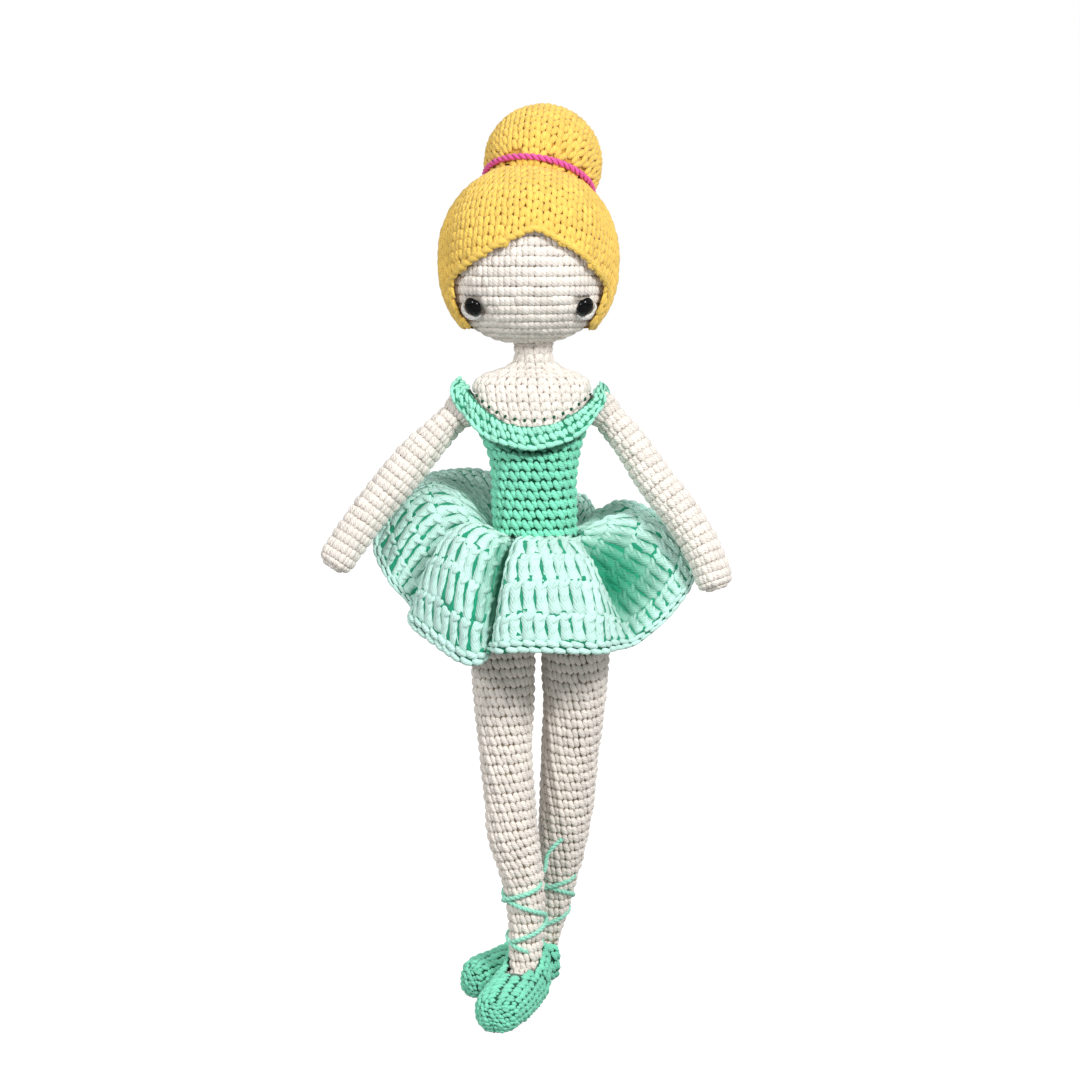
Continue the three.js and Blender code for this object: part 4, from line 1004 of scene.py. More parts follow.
FRILL_SHADOW = 12.5


# Painted shadow: bodice stitches just under the frill take more of the deep colour.
def painted_shadow_under_frill(u, v, points):
    below = neckline_height(points[..., 0]) - points[..., 2]
    return np.where(below < FRILL_SHADOW, 0.35, 1.0)


def eyelet_line():
    x = np.linspace(-24.5, 24, 120)
    z = neckline_height(x + SHIFT[0]) + 2.2
    wide, deep, aside = read(TORSO_ROWS, (z - TORSO_BOTTOM) / TORSO_HEIGHT)
    sine = np.clip(np.abs((x - aside * TORSO_HALF) / (wide * TORSO_HALF)), 0, 0.97)**(TORSO_SQUARE / 2)
    y = -deep * TORSO_DEEP * (1 - sine**2)**(1 / TORSO_SQUARE)
    line = np.stack([x, y, z], -1) + SHIFT
    return line, np.stack([x * 0.6, y, 0 * z], -1)


bodice_laid = [
    lay(bodice_at, single, CELL_HIGH * 0.96, keep=in_bodice, drift=-0.18, seed=13, start=0.18, stop=0.775,
        shade=painted_shadow_under_frill),
    # Eyelets along the neckline: dark dots of painted shade in its holes.
    border_row(*eyelet_line(), eyelet, 1.0, 4.0, 0.15, depth=0.0),
]
# The base is all deep colour: painted shade in the dark triangles between the stitches.
cloth_piece("bodice_cloth", bodice_laid, base_mesh("bodice", depth=0.0), mint_cotton, "torso", "mint_yarn",
            "bodice")

# %% The frill's surface
FRILL_ROWS = [
    [0, 0.22, -0.97, 1], [0.05, 0.42, -0.9, 0.95], [0.1, 0.2, -0.97, 1], [0.13, 0.6, -0.8, 0.85],
    [0.16, 0.2, -0.97, 0.9], [0.19, 0.85, -0.45, 0.72], [0.235, 0.72, 0.68, 0.72],
    [0.265, 0.72, 0.68, 0.68], [0.3, 0.85, -0.3, 0.72], [0.36, 0.4, -0.9, 0.9],
    [0.43, 0.25, -0.96, 0.95], [0.5, 0.4, -0.9, 1],
    [0.57, 0.25, -0.96, 0.95], [0.64, 0.4, -0.9, 0.9], [0.7, 0.7, -0.1, 0.6], [0.735, 0.6, 0.74, 0.58],
    [0.765, 0.6, 0.74, 0.58], [0.805, 0.66, 0.3, 0.5], [0.835, 0.3, -0.6, 0.6],
    [0.865, 0.5, -0.82, 0.72], [0.9, 0.2, -0.97, 0.95], [0.95, 0.35, -0.93, 0.95], [1, 0.22, -0.97, 1],
]


def outline_at(turn, height, grow):
    wide, deep, aside = read(TORSO_ROWS, (height - TORSO_BOTTOM) / TORSO_HEIGHT)
    x = aside * TORSO_HALF - (wide * TORSO_HALF + grow) * power(np.sin(turn), TORSO_SQUARE)
    y = -(deep * TORSO_DEEP + grow) * power(np.cos(turn), TORSO_SQUARE)
    return np.stack([x, y, height + 0 * x], -1)


def frill_at(u, v, layer=1.0):
    share = (-u) % 1
    turn = 2 * math.pi * share
    out, up, width = read(FRILL_ROWS, share)
    grow = 2 * CLEAR + WALL + FRILL_THICK / 2 - 2.2 * np.clip(up + 0.4, 0, 1)
    base = outline_at(turn, neckline_height(SHIFT[0]) + 0 * turn, grow)
    for _ in range(8):
        base = outline_at(turn, neckline_height(base[..., 0] + SHIFT[0]), grow)
    level = base - np.stack([SHOULDER_X + 0 * out, 0 * out, base[..., 2]], -1)
    level = unit(level * np.array([1, 1, 0]))
    upward = np.array([0, 0, 1.0])
    fall = unit(level * out[..., None] + upward * up[..., None])
    face = unit(np.cross(np.cross(upward + 0 * level, level), fall))
    return base + fall * (v * width * FRILL_WIDTH)[..., None] + face * layer * FRILL_THICK / 2 + SHIFT


def outer_layer(sheet, u, v):
    """Which of a sheet's two layers, 1 or -1, looks forward at a place on the doll's front."""
    one, other = (sheet(np.array(u), np.array(v), layer) for layer in (1.0, -1.0))
    print("the sheet's two layers lie at", np.round(one, 1), np.round(other, 1))
    return 1.0 if one[1] < other[1] else -1.0


def both_faces(sheet, outer):
    """The outer face, and the inner one, read the other way round so that it faces inwards."""
    return (lambda u, v: sheet(u, v, outer)), (lambda u, v: sheet(-u, v, -outer))


FRILL_OUTER = outer_layer(frill_at, 0.0, 0.5)

# %% Stitch the frill
frill_laid = [
    lay(face, shape, pitch, cell=cell, seed=seed, drift=0.3, lift=-0.8, sway=0.07, start=start, stop=stop,
        size=0.85)
    for face, seed in zip(both_faces(frill_at, FRILL_OUTER), (14, 15))
    for shape, pitch, cell, start, stop in ((single, 3.3, (4.1, 3.3), 0.0, 0.74),
                                            (chain, 2.2, (4.0, 1.9), 0.76, 1.0))]
cloth_piece("frill_cloth", frill_laid, two_sided(frill_at, FRILL_OUTER * 0.35, 200, 8, depth=0.15),
            light_cotton, "torso", "pale_mint_yarn", "neckline_frill")

# %% [markdown]
# ## The skirt
# The skirt is worked from the waist down in tall double crochet, with so many stitches added in each
# round that the cloth can't lie flat: it throws deep folds, stands out at the back and hangs in a
# box at the front. Its edge is a braid of chain stitches. The surface is a curve from the waist to
# the hem at each place round it, and the hem's own line is a table read round the doll.

# %% The skirt's surface
SKIRT_ROWS = np.array([
    [0.04, -0.7, 0.85, -0.02], [-0.1, -0.7, 0.85, -0.02], [-0.21, -0.685, 0.86, 0.01],
    [-0.27, -0.56, 0.87, 0.17], [-0.32, -0.59, 0.97, 0.02], [-0.44, -0.57, 0.96, -0.06],
    [-0.6, -0.45, 0.84, -0.09], [-0.74, -0.31, 0.72, -0.02], [-0.76, -0.15, 0.6, 0.21],
    [-0.89, -0.06, 0.41, -0.02], [-0.985, 0.06, 0.13, -0.09], [-0.88, 0.23, -0.17, -0.08],
    [-0.69, 0.38, -0.36, -0.03], [-0.51, 0.57, -0.4, 0], [-0.3, 0.69, -0.36, 0.02],
    [-0.09, 0.63, -0.16, 0.1], [0.12, 0.72, -0.12, 0], [0.3, 0.69, -0.17, 0], [0.4, 0.5, -0.08, 0.1],
    [0.54, 0.36, -0.17, 0], [0.72, 0.23, -0.12, 0], [0.88, 0.09, 0.11, -0.06],
    [0.965, -0.06, 0.36, -0.05], [0.84, -0.24, 0.62, 0.08], [0.62, -0.42, 0.84, 0.17],
    [0.47, -0.55, 0.87, 0.03], [0.39, -0.66, 0.87, -0.01], [0.22, -0.7, 0.86, -0.02],
])
SKIRT_PUFF = np.zeros(len(SKIRT_ROWS))
SKIRT_PUFF[[6, 7, 9, 10, 11, 12, 13]] = [0.04, 0.05, 0.11, 0.17, 0.15, 0.1, 0.04]
SKIRT_PUFF[[21, 22]] = [0.04, 0.04]
SKIRT_TABLE = np.c_[SKIRT_ROWS, SKIRT_PUFF]


def skirt_middle(around, down):
    count = len(SKIRT_ROWS)
    at = (around % 1) * count
    row = np.floor(at).astype(int) % count
    t = (at - np.floor(at))[..., None]
    before, start, end, after = (SKIRT_TABLE[(row + k) % count] for k in (-1, 0, 1, 2))
    got = blend(t, start, end, (end - before) / 2, (after - start) / 2)
    x, y, drop, tuck, puff = np.moveaxis(got, -1, 0)
    hem = np.stack([x * SKIRT_REACH, y * SKIRT_REACH, WAIST - drop * SKIRT_DROP], -1)
    top_height = WAIST - SKIRT_THICK / 2 - CLEAR
    top = outline_at(np.arctan2(-x, -y), top_height + 0 * x, CLEAR + SKIRT_THICK)
    out = (hem - top) * np.array([1, 1, 0])
    hang = np.clip(drop, 0, 1)[..., None]
    upward = np.array([0, 0, 1.0])
    first = top + out * 0.5 + upward * 0.06 * SKIRT_DROP
    second = hem - out * 0.32 * (1 - hang) + upward * 0.55 * SKIRT_DROP * hang
    s = down[..., None]
    place = (1 - s)**3 * top + 3 * (1 - s)**2 * s * first + 3 * (1 - s) * s**2 * second + s**3 * hem
    tucked = (tuck * SKIRT_REACH * np.sin(math.pi * np.abs(down)**0.8))[..., None]
    raised = (puff * SKIRT_REACH * np.sin(math.pi * np.abs(down)**0.6))[..., None]
    return place - unit(out) * tucked * 0.5 - upward * (tucked - raised)


def skirt_at(u, v, layer=1.0):
    around, step = -u, 0.002
    safe = np.clip(v, step, 1 - step)
    along = skirt_middle(around, safe + step) - skirt_middle(around, safe - step)
    aside = skirt_middle(around + step, v) - skirt_middle(around - step, v)
    return skirt_middle(around, v) + unit(np.cross(aside, along)) * layer * SKIRT_THICK / 2 + SHIFT


SKIRT_OUTER = outer_layer(skirt_at, 0.0, 0.9)

# %% Stitch the skirt
LAST_ROW, HEM, HEM_HIGH = 0.79, 0.93, 2.4
# Painted shade in the skirt's folds: how much, for each row of the hem's table.
SHADE = {2: 0.3, 3: 1, 4: 0.7, 5: 0.2, 7: 0.4, 8: 1, 9: 0.15, 15: 0.6, 18: 0.6, 22: 0.2, 23: 0.85, 24: 1,
         25: 0.25}


def painted_fold_shade(u, v, points):
    """Painted shade in the folds: more of the deep colour there, and least near the hem."""
    count = len(SKIRT_ROWS)
    shares = [SHADE.get(row % count, 0) for row in range(count + 1)]
    deep = np.interp((-u % 1) * count, np.arange(count + 1), shares)
    return 1 - 0.9 * deep * np.sin(math.pi * np.clip(v, 0, 1)**0.75)**0.7


# Painted shade on the skirt's inner face: its stitches take more of the deep colour.
def painted_shade_under_skirt(u, v, points):
    return 0.45 + 0 * v


skirt_laid = []
for face, seed, shade in zip(both_faces(skirt_at, SKIRT_OUTER), (16, 17), (painted_fold_shade, painted_shade_under_skirt)):
    for start, stop in ((0.0, LAST_ROW - 0.012), (LAST_ROW, HEM)):
        skirt_laid.append(lay(face, post, POST_HIGH, cell=(CELL_WIDE, POST_HIGH), seed=seed, start=start,
                              stop=stop, drift=0.35, lift=-1.3, limits=(-0.6, 1.2), shade=shade, sway=0.05))
    skirt_laid.append(lay(face, chain, 2.2, cell=(CELL_WIDE, HEM_HIGH), seed=seed + 2, start=HEM, stop=1.0,
                          drift=0.5, lift=-0.9, shade=shade, sway=0.05))
cloth_piece("skirt_cloth", skirt_laid,
            two_sided(skirt_at, SKIRT_OUTER * 0.2, 300, 24, depth=0.14, shade=painted_fold_shade), pale_cotton,
            "torso", "pale_mint_yarn", "skirt")

# %% [markdown]
# ## Arms and legs
# A limb is a tube worked in a spiral round and round, about ten stitches to a row in an arm and up
# to eighteen in a thigh, with a rounded end where it meets the body. Its surface follows a bent
# centre line; its sections stand square to that line. At the top it is whichever is wider, the tube
# or the ball of the joint.

# %% A limb's surface
ARM_ROWS = {
    "right": [[0, 0, 0, 0, 0.77], [0.15, 0.107, 0.025, 0.106, 0.8], [0.31, 0.21, 0.05, 0.213, 0.97],
              [0.53, 0.35, 0.085, 0.376, 1], [0.67, 0.443, 0.11, 0.486, 0.95],
              [0.85, 0.555, 0.145, 0.639, 0.93], [1, 0.642, 0.17, 0.768, 0.9]],
    "left": [[0, 0, 0, 0, 0.77], [0.2, 0.14, 0.035, 0.163, 0.86], [0.42, 0.261, 0.072, 0.341, 0.95],
             [0.6, 0.373, 0.108, 0.484, 0.97], [0.8, 0.486, 0.145, 0.658, 0.95],
             [0.92, 0.543, 0.169, 0.793, 0.92], [1, 0.559, 0.181, 0.875, 0.9]],
}
LEG_ROWS = {
    "right": [[0, -0.082, 0, 0.93], [0.14, -0.08, -0.01, 0.94], [0.235, -0.077, -0.017, 0.88],
              [0.3, -0.076, -0.022, 0.83], [0.38, -0.072, -0.028, 0.77], [0.48, -0.063, -0.035, 0.75],
              [0.57, -0.055, -0.042, 0.75], [0.64, -0.039, -0.047, 0.67], [0.7, -0.028, -0.051, 0.61],
              [0.76, -0.023, -0.055, 0.55], [0.82, -0.023, -0.059, 0.51], [0.9, -0.023, -0.064, 0.5]],
    "left": [[0, 0.1, 0, 0.96], [0.13, 0.1, 0.018, 1], [0.245, 0.098, 0.036, 0.92],
             [0.33, 0.092, 0.05, 0.88], [0.38, 0.087, 0.06, 0.85], [0.5, 0.081, 0.083, 0.82],
             [0.63, 0.068, 0.107, 0.72], [0.74, 0.055, 0.13, 0.56], [0.8, 0.044, 0.142, 0.5],
             [0.86, 0.028, 0.153, 0.5], [0.9, 0.017, 0.158, 0.5]],
}


def arm_station(side, share):
    out, ahead, down, radius = read(ARM_ROWS[side], share)
    reach = np.stack([SIDES[side] * out, -ahead, -down], -1) * ARM_LENGTH
    return SHOULDERS[side] + reach, radius * ARM_RADIUS


def leg_station(side, share):
    aside, back, radius = read(LEG_ROWS[side], share)
    return np.stack([aside, back, 1 - np.asarray(share)], -1) * HIP_HEIGHT, radius * THIGH


def limb(station, side, ball, tip_round):
    """The surface of one limb, from the pole of its joint's ball to its rounded tip."""
    share = np.linspace(0, LIMB_REACH, 200)
    centre, radius = station(side, share)
    run = run_of(centre)
    whole = run[-1]
    first = unit(centre[1] - centre[0])
    last = unit(centre[-1] - centre[-2])

    def surface(u, v):
        s = -ball + v * (whole + ball + tip_round)
        inside = np.clip(s, 0, whole)
        at = points_at(inside, centre, run)
        at = at + first * np.minimum(s, 0)[..., None] + last * np.maximum(s - whole, 0)[..., None]
        near = np.clip(inside, 1.5, whole - 1.5)
        ahead = unit(points_at(near + 1.5, centre, run) - points_at(near - 1.5, centre, run))
        tube = np.where(s < 0, 0, np.interp(inside, run, radius))
        if tip_round:
            past = np.clip((s - whole) / tip_round, 0, 1)
            tube = tube * np.sqrt(np.maximum(1 - past**2.6, 1e-6))
        width = np.maximum(tube, np.sqrt(np.maximum(ball**2 - s**2, 1e-4)))
        across = unit(np.cross(ahead, np.array([0, 1.0, 0])))
        deep = np.cross(ahead, across)
        turn = 2 * math.pi * u
        return (at + (across * np.sin(turn)[..., None] + deep * np.cos(turn)[..., None])
                * width[..., None] + SHIFT)
    return surface


half_way = np.array(0.0), np.array(0.5)
print("a leg's front, half way", np.round(limb(leg_station, "right", HIP_BALL, 0)(*half_way), 1))

# %% Stitch the arms
for side in SIDES:
    arm_laid = lay(limb(arm_station, side, SHOULDER_BALL, ARM_RADIUS * 0.75), ribbed, CELL_HIGH * 0.96,
                   seed=21 + SIDES[side], drift=0.3, least=4, start=0.02, stop=0.999)
    stuffed_piece("arm_" + side + "_cloth", [arm_laid], base_mesh("arm_" + side, depth=0.4), cream_cotton,
                  side + "_arm", "cream_yarn", ["arm_" + side, "arm_stuffing_" + side])

# %% The feet's surfaces
FOOT_ROWS = [
    [-0.17, 0.45, 0.62], [-0.15, 0.66, 0.84], [-0.11, 0.82, 0.97], [-0.03, 0.9, 1],
    [0.08, 0.92, 0.98], [0.22, 0.96, 0.9], [0.38, 1, 0.78], [0.54, 1, 0.7], [0.66, 0.93, 0.64],
    [0.73, 0.8, 0.57], [0.77, 0.5, 0.42],
]
FOOT_TURN, FOOT_TIP = {"right": 18, "left": 50}, 0.06
ANKLES = {side: leg_station(side, 1 - ANKLE_HEIGHT / HIP_HEIGHT)[0] for side in SIDES}


def foot_axes(side):
    turn = math.radians(FOOT_TURN[side])
    along = np.array([-math.sin(turn), -math.cos(turn), 0])
    return along, np.cross([0, 0, 1.0], along)


def from_ankle(points, side):
    """How far points lie ahead of the ankle and beside it, along the foot's own two axes."""
    return tuple((points - SHIFT - ANKLES[side]) @ axis for axis in foot_axes(side))


def foot(side, grow):
    """The foot from its toe to its heel, as rings round its own length."""
    along, across = foot_axes(side)
    first, last, tip = FOOT_ROWS[0][0], FOOT_ROWS[-1][0], FOOT_TIP

    def surface(u, v):
        body = np.clip((v - tip) / (1 - 2 * tip), 0, 1)
        share = last + (first - last) * body
        wide, high = read(FOOT_ROWS, share)
        closing = np.sqrt(np.maximum(1 - np.clip((tip - v) / tip, 0, 1)**2
                                     - np.clip((v - 1 + tip) / tip, 0, 1)**2, 1e-6))
        beyond = np.where(v < tip, (tip - v) / tip, 0) - np.where(v > 1 - tip, (v - 1 + tip) / tip, 0)
        turn = 2 * math.pi * u
        x = -(wide * FOOT_HALF + grow) * power(np.sin(turn), 2.6) * closing
        z = (high * FOOT_HEIGHT / 2 + grow) * power(np.cos(turn), 2.6) * closing
        middle = WALL + CLEAR + high * FOOT_HEIGHT / 2
        at = (np.append(ANKLES[side][:2], 0) + along * (share * FOOT_LENGTH)[..., None]
              + along * (beyond * grow)[..., None])
        return at + across * x[..., None] + np.array([0, 0, 1.0]) * (middle + z)[..., None] + SHIFT
    return surface


SHORT_HEEL = {"right": 0.0, "left": 0.8}
HEEL_RISE = {"right": 6.5, "left": -2.0}
HEEL_FROM, HEEL_EASE = 5, 11
COLLAR_HEIGHT, COLLAR_EASE = 27, 6


def short_heel(points, side):
    """The heel is drawn in towards the ankle, below the collar of the slipper."""
    away = from_ankle(points, side)[0]
    low = np.clip((COLLAR_HEIGHT - points[..., 2]) / COLLAR_EASE, 0, 1)
    shift = np.where(away < 0, -SHORT_HEEL[side] * away, 0) * low
    return points + shift[..., None] * foot_axes(side)[0]


def rounds(side, grow):
    """The same skin in rounds: u runs round the foot from its toe, v from its top to its sole."""
    skin, tip = foot(side, grow), FOOT_TIP

    def surface(u, v):
        about = (u + 0.5) % 1 - 0.5
        far = np.abs(about)
        lean = math.pi * np.clip(v, 0, 1)
        psi = math.pi / 2 * np.clip(np.minimum(far, 0.5 - far) / 0.14, 0, 1)
        cap = tip * (1 - np.sin(lean) * np.cos(psi))
        sides = tip + (1 - 2 * tip) * np.clip((far - 0.14) / 0.22, 0, 1)
        down = np.where(far < 0.14, cap, np.where(far > 0.36, 1 - cap, sides))
        turn = np.arctan2(np.sin(lean) * np.sin(psi), np.cos(lean))
        points = short_heel(skin(-np.sign(about) * turn / (2 * math.pi), down), side)
        behind = np.clip((HEEL_FROM - from_ankle(points, side)[0]) / HEEL_EASE, 0, 1)
        points[..., 2] += HEEL_RISE[side] * behind * points[..., 2] / FOOT_HEIGHT
        points[..., 2] = np.maximum(points[..., 2], 0.0)
        return points
    return surface


print("top of the right foot, half way", np.round(foot("right", 3.0)(*half_way), 1))

# %% Stitch the legs and the insteps
OPENING_AHEAD, OPENING_LONG, OPENING_WIDE = 5, 11, 6.6
LEG_SEEN_FROM, INSTEP_SEEN_FROM = 15, 8


def in_opening(points, side, room=0.0):
    far, wide = from_ankle(points, side)
    return ((far - OPENING_AHEAD) / (OPENING_LONG + room))**2 + (wide / (OPENING_WIDE + room))**2 < 1


for side in SIDES:
    def above_shoe(points):
        return points[:, 2] > LEG_SEEN_FROM

    def instep(points):
        return (points[:, 2] > INSTEP_SEEN_FROM) & in_opening(points, side, 1.5)

    leg_laid = [
        lay(limb(leg_station, side, HIP_BALL, 0), slanted, CELL_HIGH, keep=above_shoe,
            seed=25 + SIDES[side], drift=0.2, start=0.02, stop=1.0),
        lay(lambda u, v: short_heel(foot(side, 0.0)(u, v), side), slanted, CELL_HIGH, keep=instep,
            seed=28 + SIDES[side]),
    ]
    base = base_mesh("leg_" + side, depth=0.15, reshape=lambda points: short_heel(points, side))
    stuffed_piece("leg_" + side + "_cloth", leg_laid, base, cream_cotton, side + "_leg", "cream_yarn",
                  ["leg_" + side, "leg_stuffing_" + side])

# %% [markdown]
# ## The slippers
# A slipper is worked from the toe in rounds, and left open over the instep, with a plain edge row.
# Its sole is pressed flat by the doll's weight, so no stitch goes below the floor.

# %% Stitch the slippers
LINING_THICK, LINING_RIM, SHOE_RIM, SOLE_EDGE = 1.2, 10, 11, 2.4


def shoe_lining(side):
    bm = bmesh.new()
    bmesh.ops.create_grid(bm, x_segments=96, y_segments=30, size=0.5)
    at = np.array([v.co for v in bm.verts]) + 0.5
    for vertex, point in zip(bm.verts, rounds(side, CLEAR + WALL - 0.5)(at[:, 0], 1 - at[:, 1])):
        vertex.co = point
    bmesh.ops.remove_doubles(bm, verts=bm.verts, dist=0.01)
    middles = np.array([face.calc_center_median() for face in bm.faces])
    bare = (middles[:, 2] > LINING_RIM) & in_opening(middles, side)
    bmesh.ops.delete(bm, geom=[f for f, gone in zip(bm.faces, bare) if gone], context="FACES")
    bmesh.ops.recalc_face_normals(bm, faces=bm.faces)
    bmesh.ops.solidify(bm, geom=bm.faces[:], thickness=LINING_THICK)
    for vertex in bm.verts:
        vertex.co *= MM
    # Painted shade: the lining shows the deep colour in the holes between the stitches.
    mark(bm, 0.12)
    return closed_up(bm)


for side in SIDES:
    surface = rounds(side, CLEAR + WALL + 0.5)

    def on_shoe(points):
        in_gap = (points[:, 2] > SHOE_RIM) & in_opening(points, side, 0.4)
        return ~in_gap & (points[:, 2] > SOLE_EDGE)

    def on_sole(points):
        return points[:, 2] < SOLE_EDGE

    shoe_rows = row_places(surface, CELL_HIGH * 0.8, 0.0, 1.0)
    laid = [lay(surface, single, CELL_HIGH, cell=(3.9, CELL_HIGH * 0.82), keep=on_shoe, seed=31 + SIDES[side],
                drift=0.35, sway=0.09, rows=shoe_rows, lift=-0.8, size=0.84),
            lay(surface, ribbed, CELL_HIGH, keep=on_sole, seed=35 + SIDES[side], rows=shoe_rows, lift=-1.1)]
    for group in laid:
        group["points"][..., 2] = np.maximum(group["points"][..., 2], 0.05)
    stuffed_piece("slipper_" + side + "_cloth", laid, shoe_lining(side), mint_cotton, side + "_leg",
                  "mint_yarn", ["slipper_" + side])

# %% [markdown]
# ## The laces
# Two strands of mint yarn wind up each ankle from the slipper, one each way round, so that they
# cross at the front. Each goes under or over the other and ends tucked in; one on the front leg has
# a loose tail with a knot. Each strand's line is worked out from the ankle's own width.

# %% Wind the laces
LACES = {
    "lace_right_under": ("right", 1, -0.06, 1.7, 1.225, 1.525),
    "lace_right_over": ("right", -1, -0.2, 1.2, 1.525, 1.225),
    "lace_left_under": ("left", 1, 0, 1.3, 1.225, 1.35),
    "lace_left_over": ("left", -1, -0.1, 1.2, 1.35, 1.225),
}
LACE_END = [[0.04, 0.1, 0.05], [0.03, 0.12, 0.26], [0.14, 0.1, 0.44], [0.33, 0.06, 0.62]]
EASE_STEPS = 12


def lace_line(side, rising, start, end, front_share, partner_share):
    """One strand's line; the one that winds against the other rises where they cross."""
    shares_apart = (front_share - partner_share) * ANKLE_HEIGHT / LACE_PITCH / 2
    turn = np.linspace(start, end, round((end - start) * 40) + 1)
    centre, radius = leg_station(side, 1 - (front_share * ANKLE_HEIGHT + LACE_PITCH * turn) / HIP_HEIGHT)
    apart = (turn + shares_apart) % 0.5
    over = 1.3 * np.exp(-(np.minimum(apart, 0.5 - apart) / 0.06)**2) if rising < 0 else 0
    angle = rising * turn * 2 * math.pi
    way = np.stack([-np.sin(angle), -np.cos(angle), 0 * angle], -1)
    step = np.arange(len(turn))
    loose = np.clip((step[::-1] + 1) / 4, 0, 1) if rising < 0 or side == "left" else 1
    tucked = (1 - np.clip(step / 4, 0, 1) * loose) * 2.6
    return centre + way * (radius + 0.75 + over - tucked)[:, None]


def evened(line, step=0.8):
    """The same line with points at equal distances, and its corners rounded off."""
    run = run_of(line)
    at = np.linspace(0, run[-1], round(run[-1] / step) + 1)
    return rounded_off(points_at(at, line, run))


def eased(points):
    """A smooth line through points, the same number of steps between each two."""
    points = np.concatenate([points[:1], points, points[-1:]])
    t = np.linspace(0, 1, EASE_STEPS, endpoint=False)[:, None]
    spans = zip(points, points[1:], points[2:], points[3:])
    return np.concatenate([blend(t, start, end, (end - before) / 2, (after - start) / 2)
                           for before, start, end, after in spans] + [points[-1:]])


def knot_mesh(place):
    """A small ball of yarn with a swirl on it, with painted shade in the swirl's hollows."""
    bm = bmesh.new()
    bm.loops.layers.uv.new("yarn")
    bmesh.ops.create_icosphere(bm, subdivisions=3, radius=1.0 * MM)
    swirls = [math.sin(4 * math.atan2(v.co.y, v.co.x) + v.co.z / MM * 4) for v in bm.verts]
    for vertex, swirl in zip(bm.verts, swirls):
        vertex.co = vertex.co * (1 + 0.12 * swirl) + Vector(place) * MM
    # Painted shade: darker where the swirl dips in.
    mark(bm, 0.6 + 0.4 * np.array(swirls))
    return mesh_of(bm)


for name, facts in LACES.items():
    line, pieces = lace_line(*facts), []
    if name == "lace_right_under":
        tail = line[-1] + np.array(LACE_END) * LACE_TAIL
        eased_tail = eased(np.concatenate([line[-3:-2], line[-1:], tail]))
        line = np.concatenate([line[:-1], eased_tail[EASE_STEPS:]])
    line = evened(line) + SHIFT
    strand = add_piece(twisted(line, 0.66, 0.4, 4.2), name + "_cord", light_cotton, facts[0] + "_leg",
                       "mint_yarn", name)
    if name == "lace_right_under":
        pieces = [add_piece(knot_mesh(line[-1]), "lace_knot", light_cotton, "right_leg", "mint_yarn")]

# %% [markdown]
# ## Sewn joins, washers and the dowel
# Rings of cream yarn sew each limb to the body. Inside the head, moulded washers hold the eyes, and
# a birch dowel runs from the chest through the neck. They hardly show, and they get their true
# materials all the same.

# %% Sew the joins
# The solid's joints are balls with flat facets, and their pockets are this much wider to let them turn
FACET_ROOM = 1 / math.cos(math.pi / 16) ** 2
SEAM_THICK, SEAM_SHARE = 0.7, 0.8
for side, sign in SIDES.items():
    hip = np.array([LEG_ROWS[side][0][1] * HIP_HEIGHT, 0, HIP_HEIGHT])
    joins = [("shoulder_seam_" + side, SHOULDERS[side], np.array([-sign, 0, 0.0]), SHOULDER_BALL,
              "shoulder_join_" + side),
             ("hip_seam_" + side, hip, np.array([0, 0, 1.0]), HIP_BALL, "torso")]
    for name, joint, inward, ball, rider in joins:
        reach = ball * FACET_ROOM + CLEAR + SEAM_THICK
        line = hoop(joint + inward * reach * SEAM_SHARE + SHIFT, inward,
                    reach * math.sqrt(1 - SEAM_SHARE**2), 90, [0.1, 1, 0.2])
        add_piece(twisted(line, 0.38, 0.3, 3.0, closed=True), name + "_yarn", cream_cotton, rider,
                  "cream_yarn", name)
print("joins sewn", 4)

# %% Birch, and moulded plastic
def two_toned(name, grain, detail, dark, light, finish, groove=0.0):
    """Two tones in a grain whose widths along x, y and z are given in millimetres."""
    material = blank_material(name)
    place = add_node(material, "ShaderNodeTexCoord")
    stretch = add_node(material, "ShaderNodeMapping", {"Scale": [1 / (width * MM) for width in grain]},
                       {"Vector": place.outputs["Object"]})
    cloud = add_node(material, "ShaderNodeTexNoise", {"Scale": 1.0, "Detail": detail},
                     {"Vector": stretch.outputs[0]})
    tint = add_node(material, "ShaderNodeValToRGB", {}, {"Fac": cloud.outputs["Fac"]})
    tint.color_ramp.elements[0].color = linear(dark)
    tint.color_ramp.elements[1].color = linear(light)
    relief = add_node(material, "ShaderNodeBump", {"Strength": groove, "Distance": 0.1 * MM},
                      {"Height": cloud.outputs["Fac"]})
    shader = add_node(material, "ShaderNodeBsdfPrincipled", finish,
                      {"Base Color": tint.outputs[0], "Normal": relief.outputs[0]})
    add_node(material, "ShaderNodeOutputMaterial", {}, {"Surface": shader.outputs[0]})
    return material


birch = two_toned("birch_dowel", (0.8, 0.8, 14), 5.0, "#B88F5C", "#DDBE8F", {"Roughness": 0.6}, groove=0.3)
nylon = two_toned("moulded_nylon", (2, 2, 2), 2.0, "#DAD9D2", "#ECEBE5", {"Roughness": 0.45, "IOR": 1.53})
for name, material in (("neck_dowel", birch), ("eye_washer_right", nylon), ("eye_washer_left", nylon)):
    nodes[name].data.materials.clear()
    nodes[name].data.materials.append(material)
print("carried over as they are", ["neck_dowel", "eye_washer_right", "eye_washer_left"])

# %% [markdown]
# ## Floor and light
# The picture has a pure white background and soft light from above and in front. The floor is a
# matt sheet with a glow that only the camera sees, so that it shows white and keeps the doll's
# shadow, and two soft boxes give each eye its two highlights.

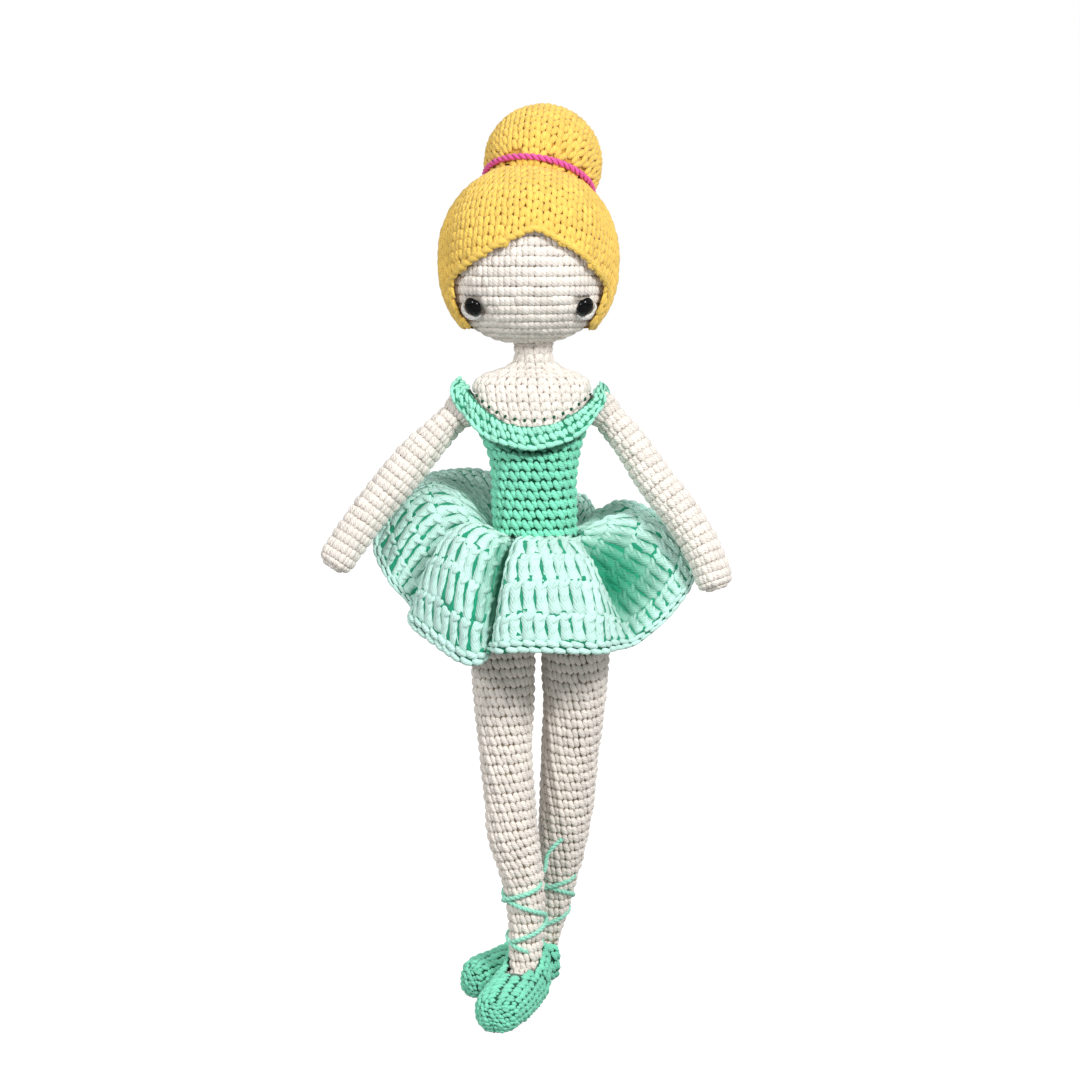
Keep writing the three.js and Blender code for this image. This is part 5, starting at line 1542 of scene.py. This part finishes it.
# %% Lay the floor
bm = bmesh.new()
bmesh.ops.create_grid(bm, x_segments=1, y_segments=1, size=3.0)
paper = blank_material("white_paper")
rays = add_node(paper, "ShaderNodeLightPath")
matt = add_node(paper, "ShaderNodeBsdfDiffuse", {"Color": linear("#A6A6A6")})
glow = add_node(paper, "ShaderNodeEmission", {"Color": (1, 1, 1, 1), "Strength": 0.86})
dark = add_node(paper, "ShaderNodeEmission", {"Color": (0, 0, 0, 1), "Strength": 0.0})
choice = add_node(paper, "ShaderNodeMixShader", {}, {0: rays.outputs["Is Camera Ray"], 1: dark.outputs[0],
                                                     2: glow.outputs[0]})
both = add_node(paper, "ShaderNodeAddShader", {}, {0: matt.outputs[0], 1: choice.outputs[0]})
add_node(paper, "ShaderNodeOutputMaterial", {}, {"Surface": both.outputs[0]})
floor = show(mesh_of(bm), "floor", paper)
print("floor", round(floor.dimensions.x, 1), "m wide")

# %% Light the scene
scene = bpy.context.scene
scene.view_settings.view_transform = "Standard"
world = bpy.data.worlds.new("studio")
scene.world = world
world.use_nodes = True
world.node_tree.nodes.clear()
rays = add_node(world, "ShaderNodeLightPath")
soft = add_node(world, "ShaderNodeBackground", {"Color": (1, 1, 1, 1), "Strength": 0.5})
white = add_node(world, "ShaderNodeBackground", {"Color": (1, 1, 1, 1), "Strength": 1.0})
mixed = add_node(world, "ShaderNodeMixShader", {}, {0: rays.outputs["Is Camera Ray"], 1: soft.outputs[0],
                                                    2: white.outputs[0]})
add_node(world, "ShaderNodeOutputWorld", {}, {"Surface": mixed.outputs[0]})


LAMP_AIM = Vector((0, 0, 0.2))


def soft_box(name, place, size, watts):
    data = bpy.data.lights.new(name, "AREA")
    data.shape = "SQUARE"
    data.size = size
    data.energy = watts
    lamp = bpy.data.objects.new(name, data)
    scene.collection.objects.link(lamp)
    lamp.location = place
    lamp.rotation_euler = (LAMP_AIM - Vector(place)).to_track_quat("-Z", "Y").to_euler()


soft_box("key", (0.6, -0.8, 0.85), 0.24, 10.2)
soft_box("fill", (-0.7, -0.8, 0.75), 0.19, 4.6)
print("soft boxes", 2)
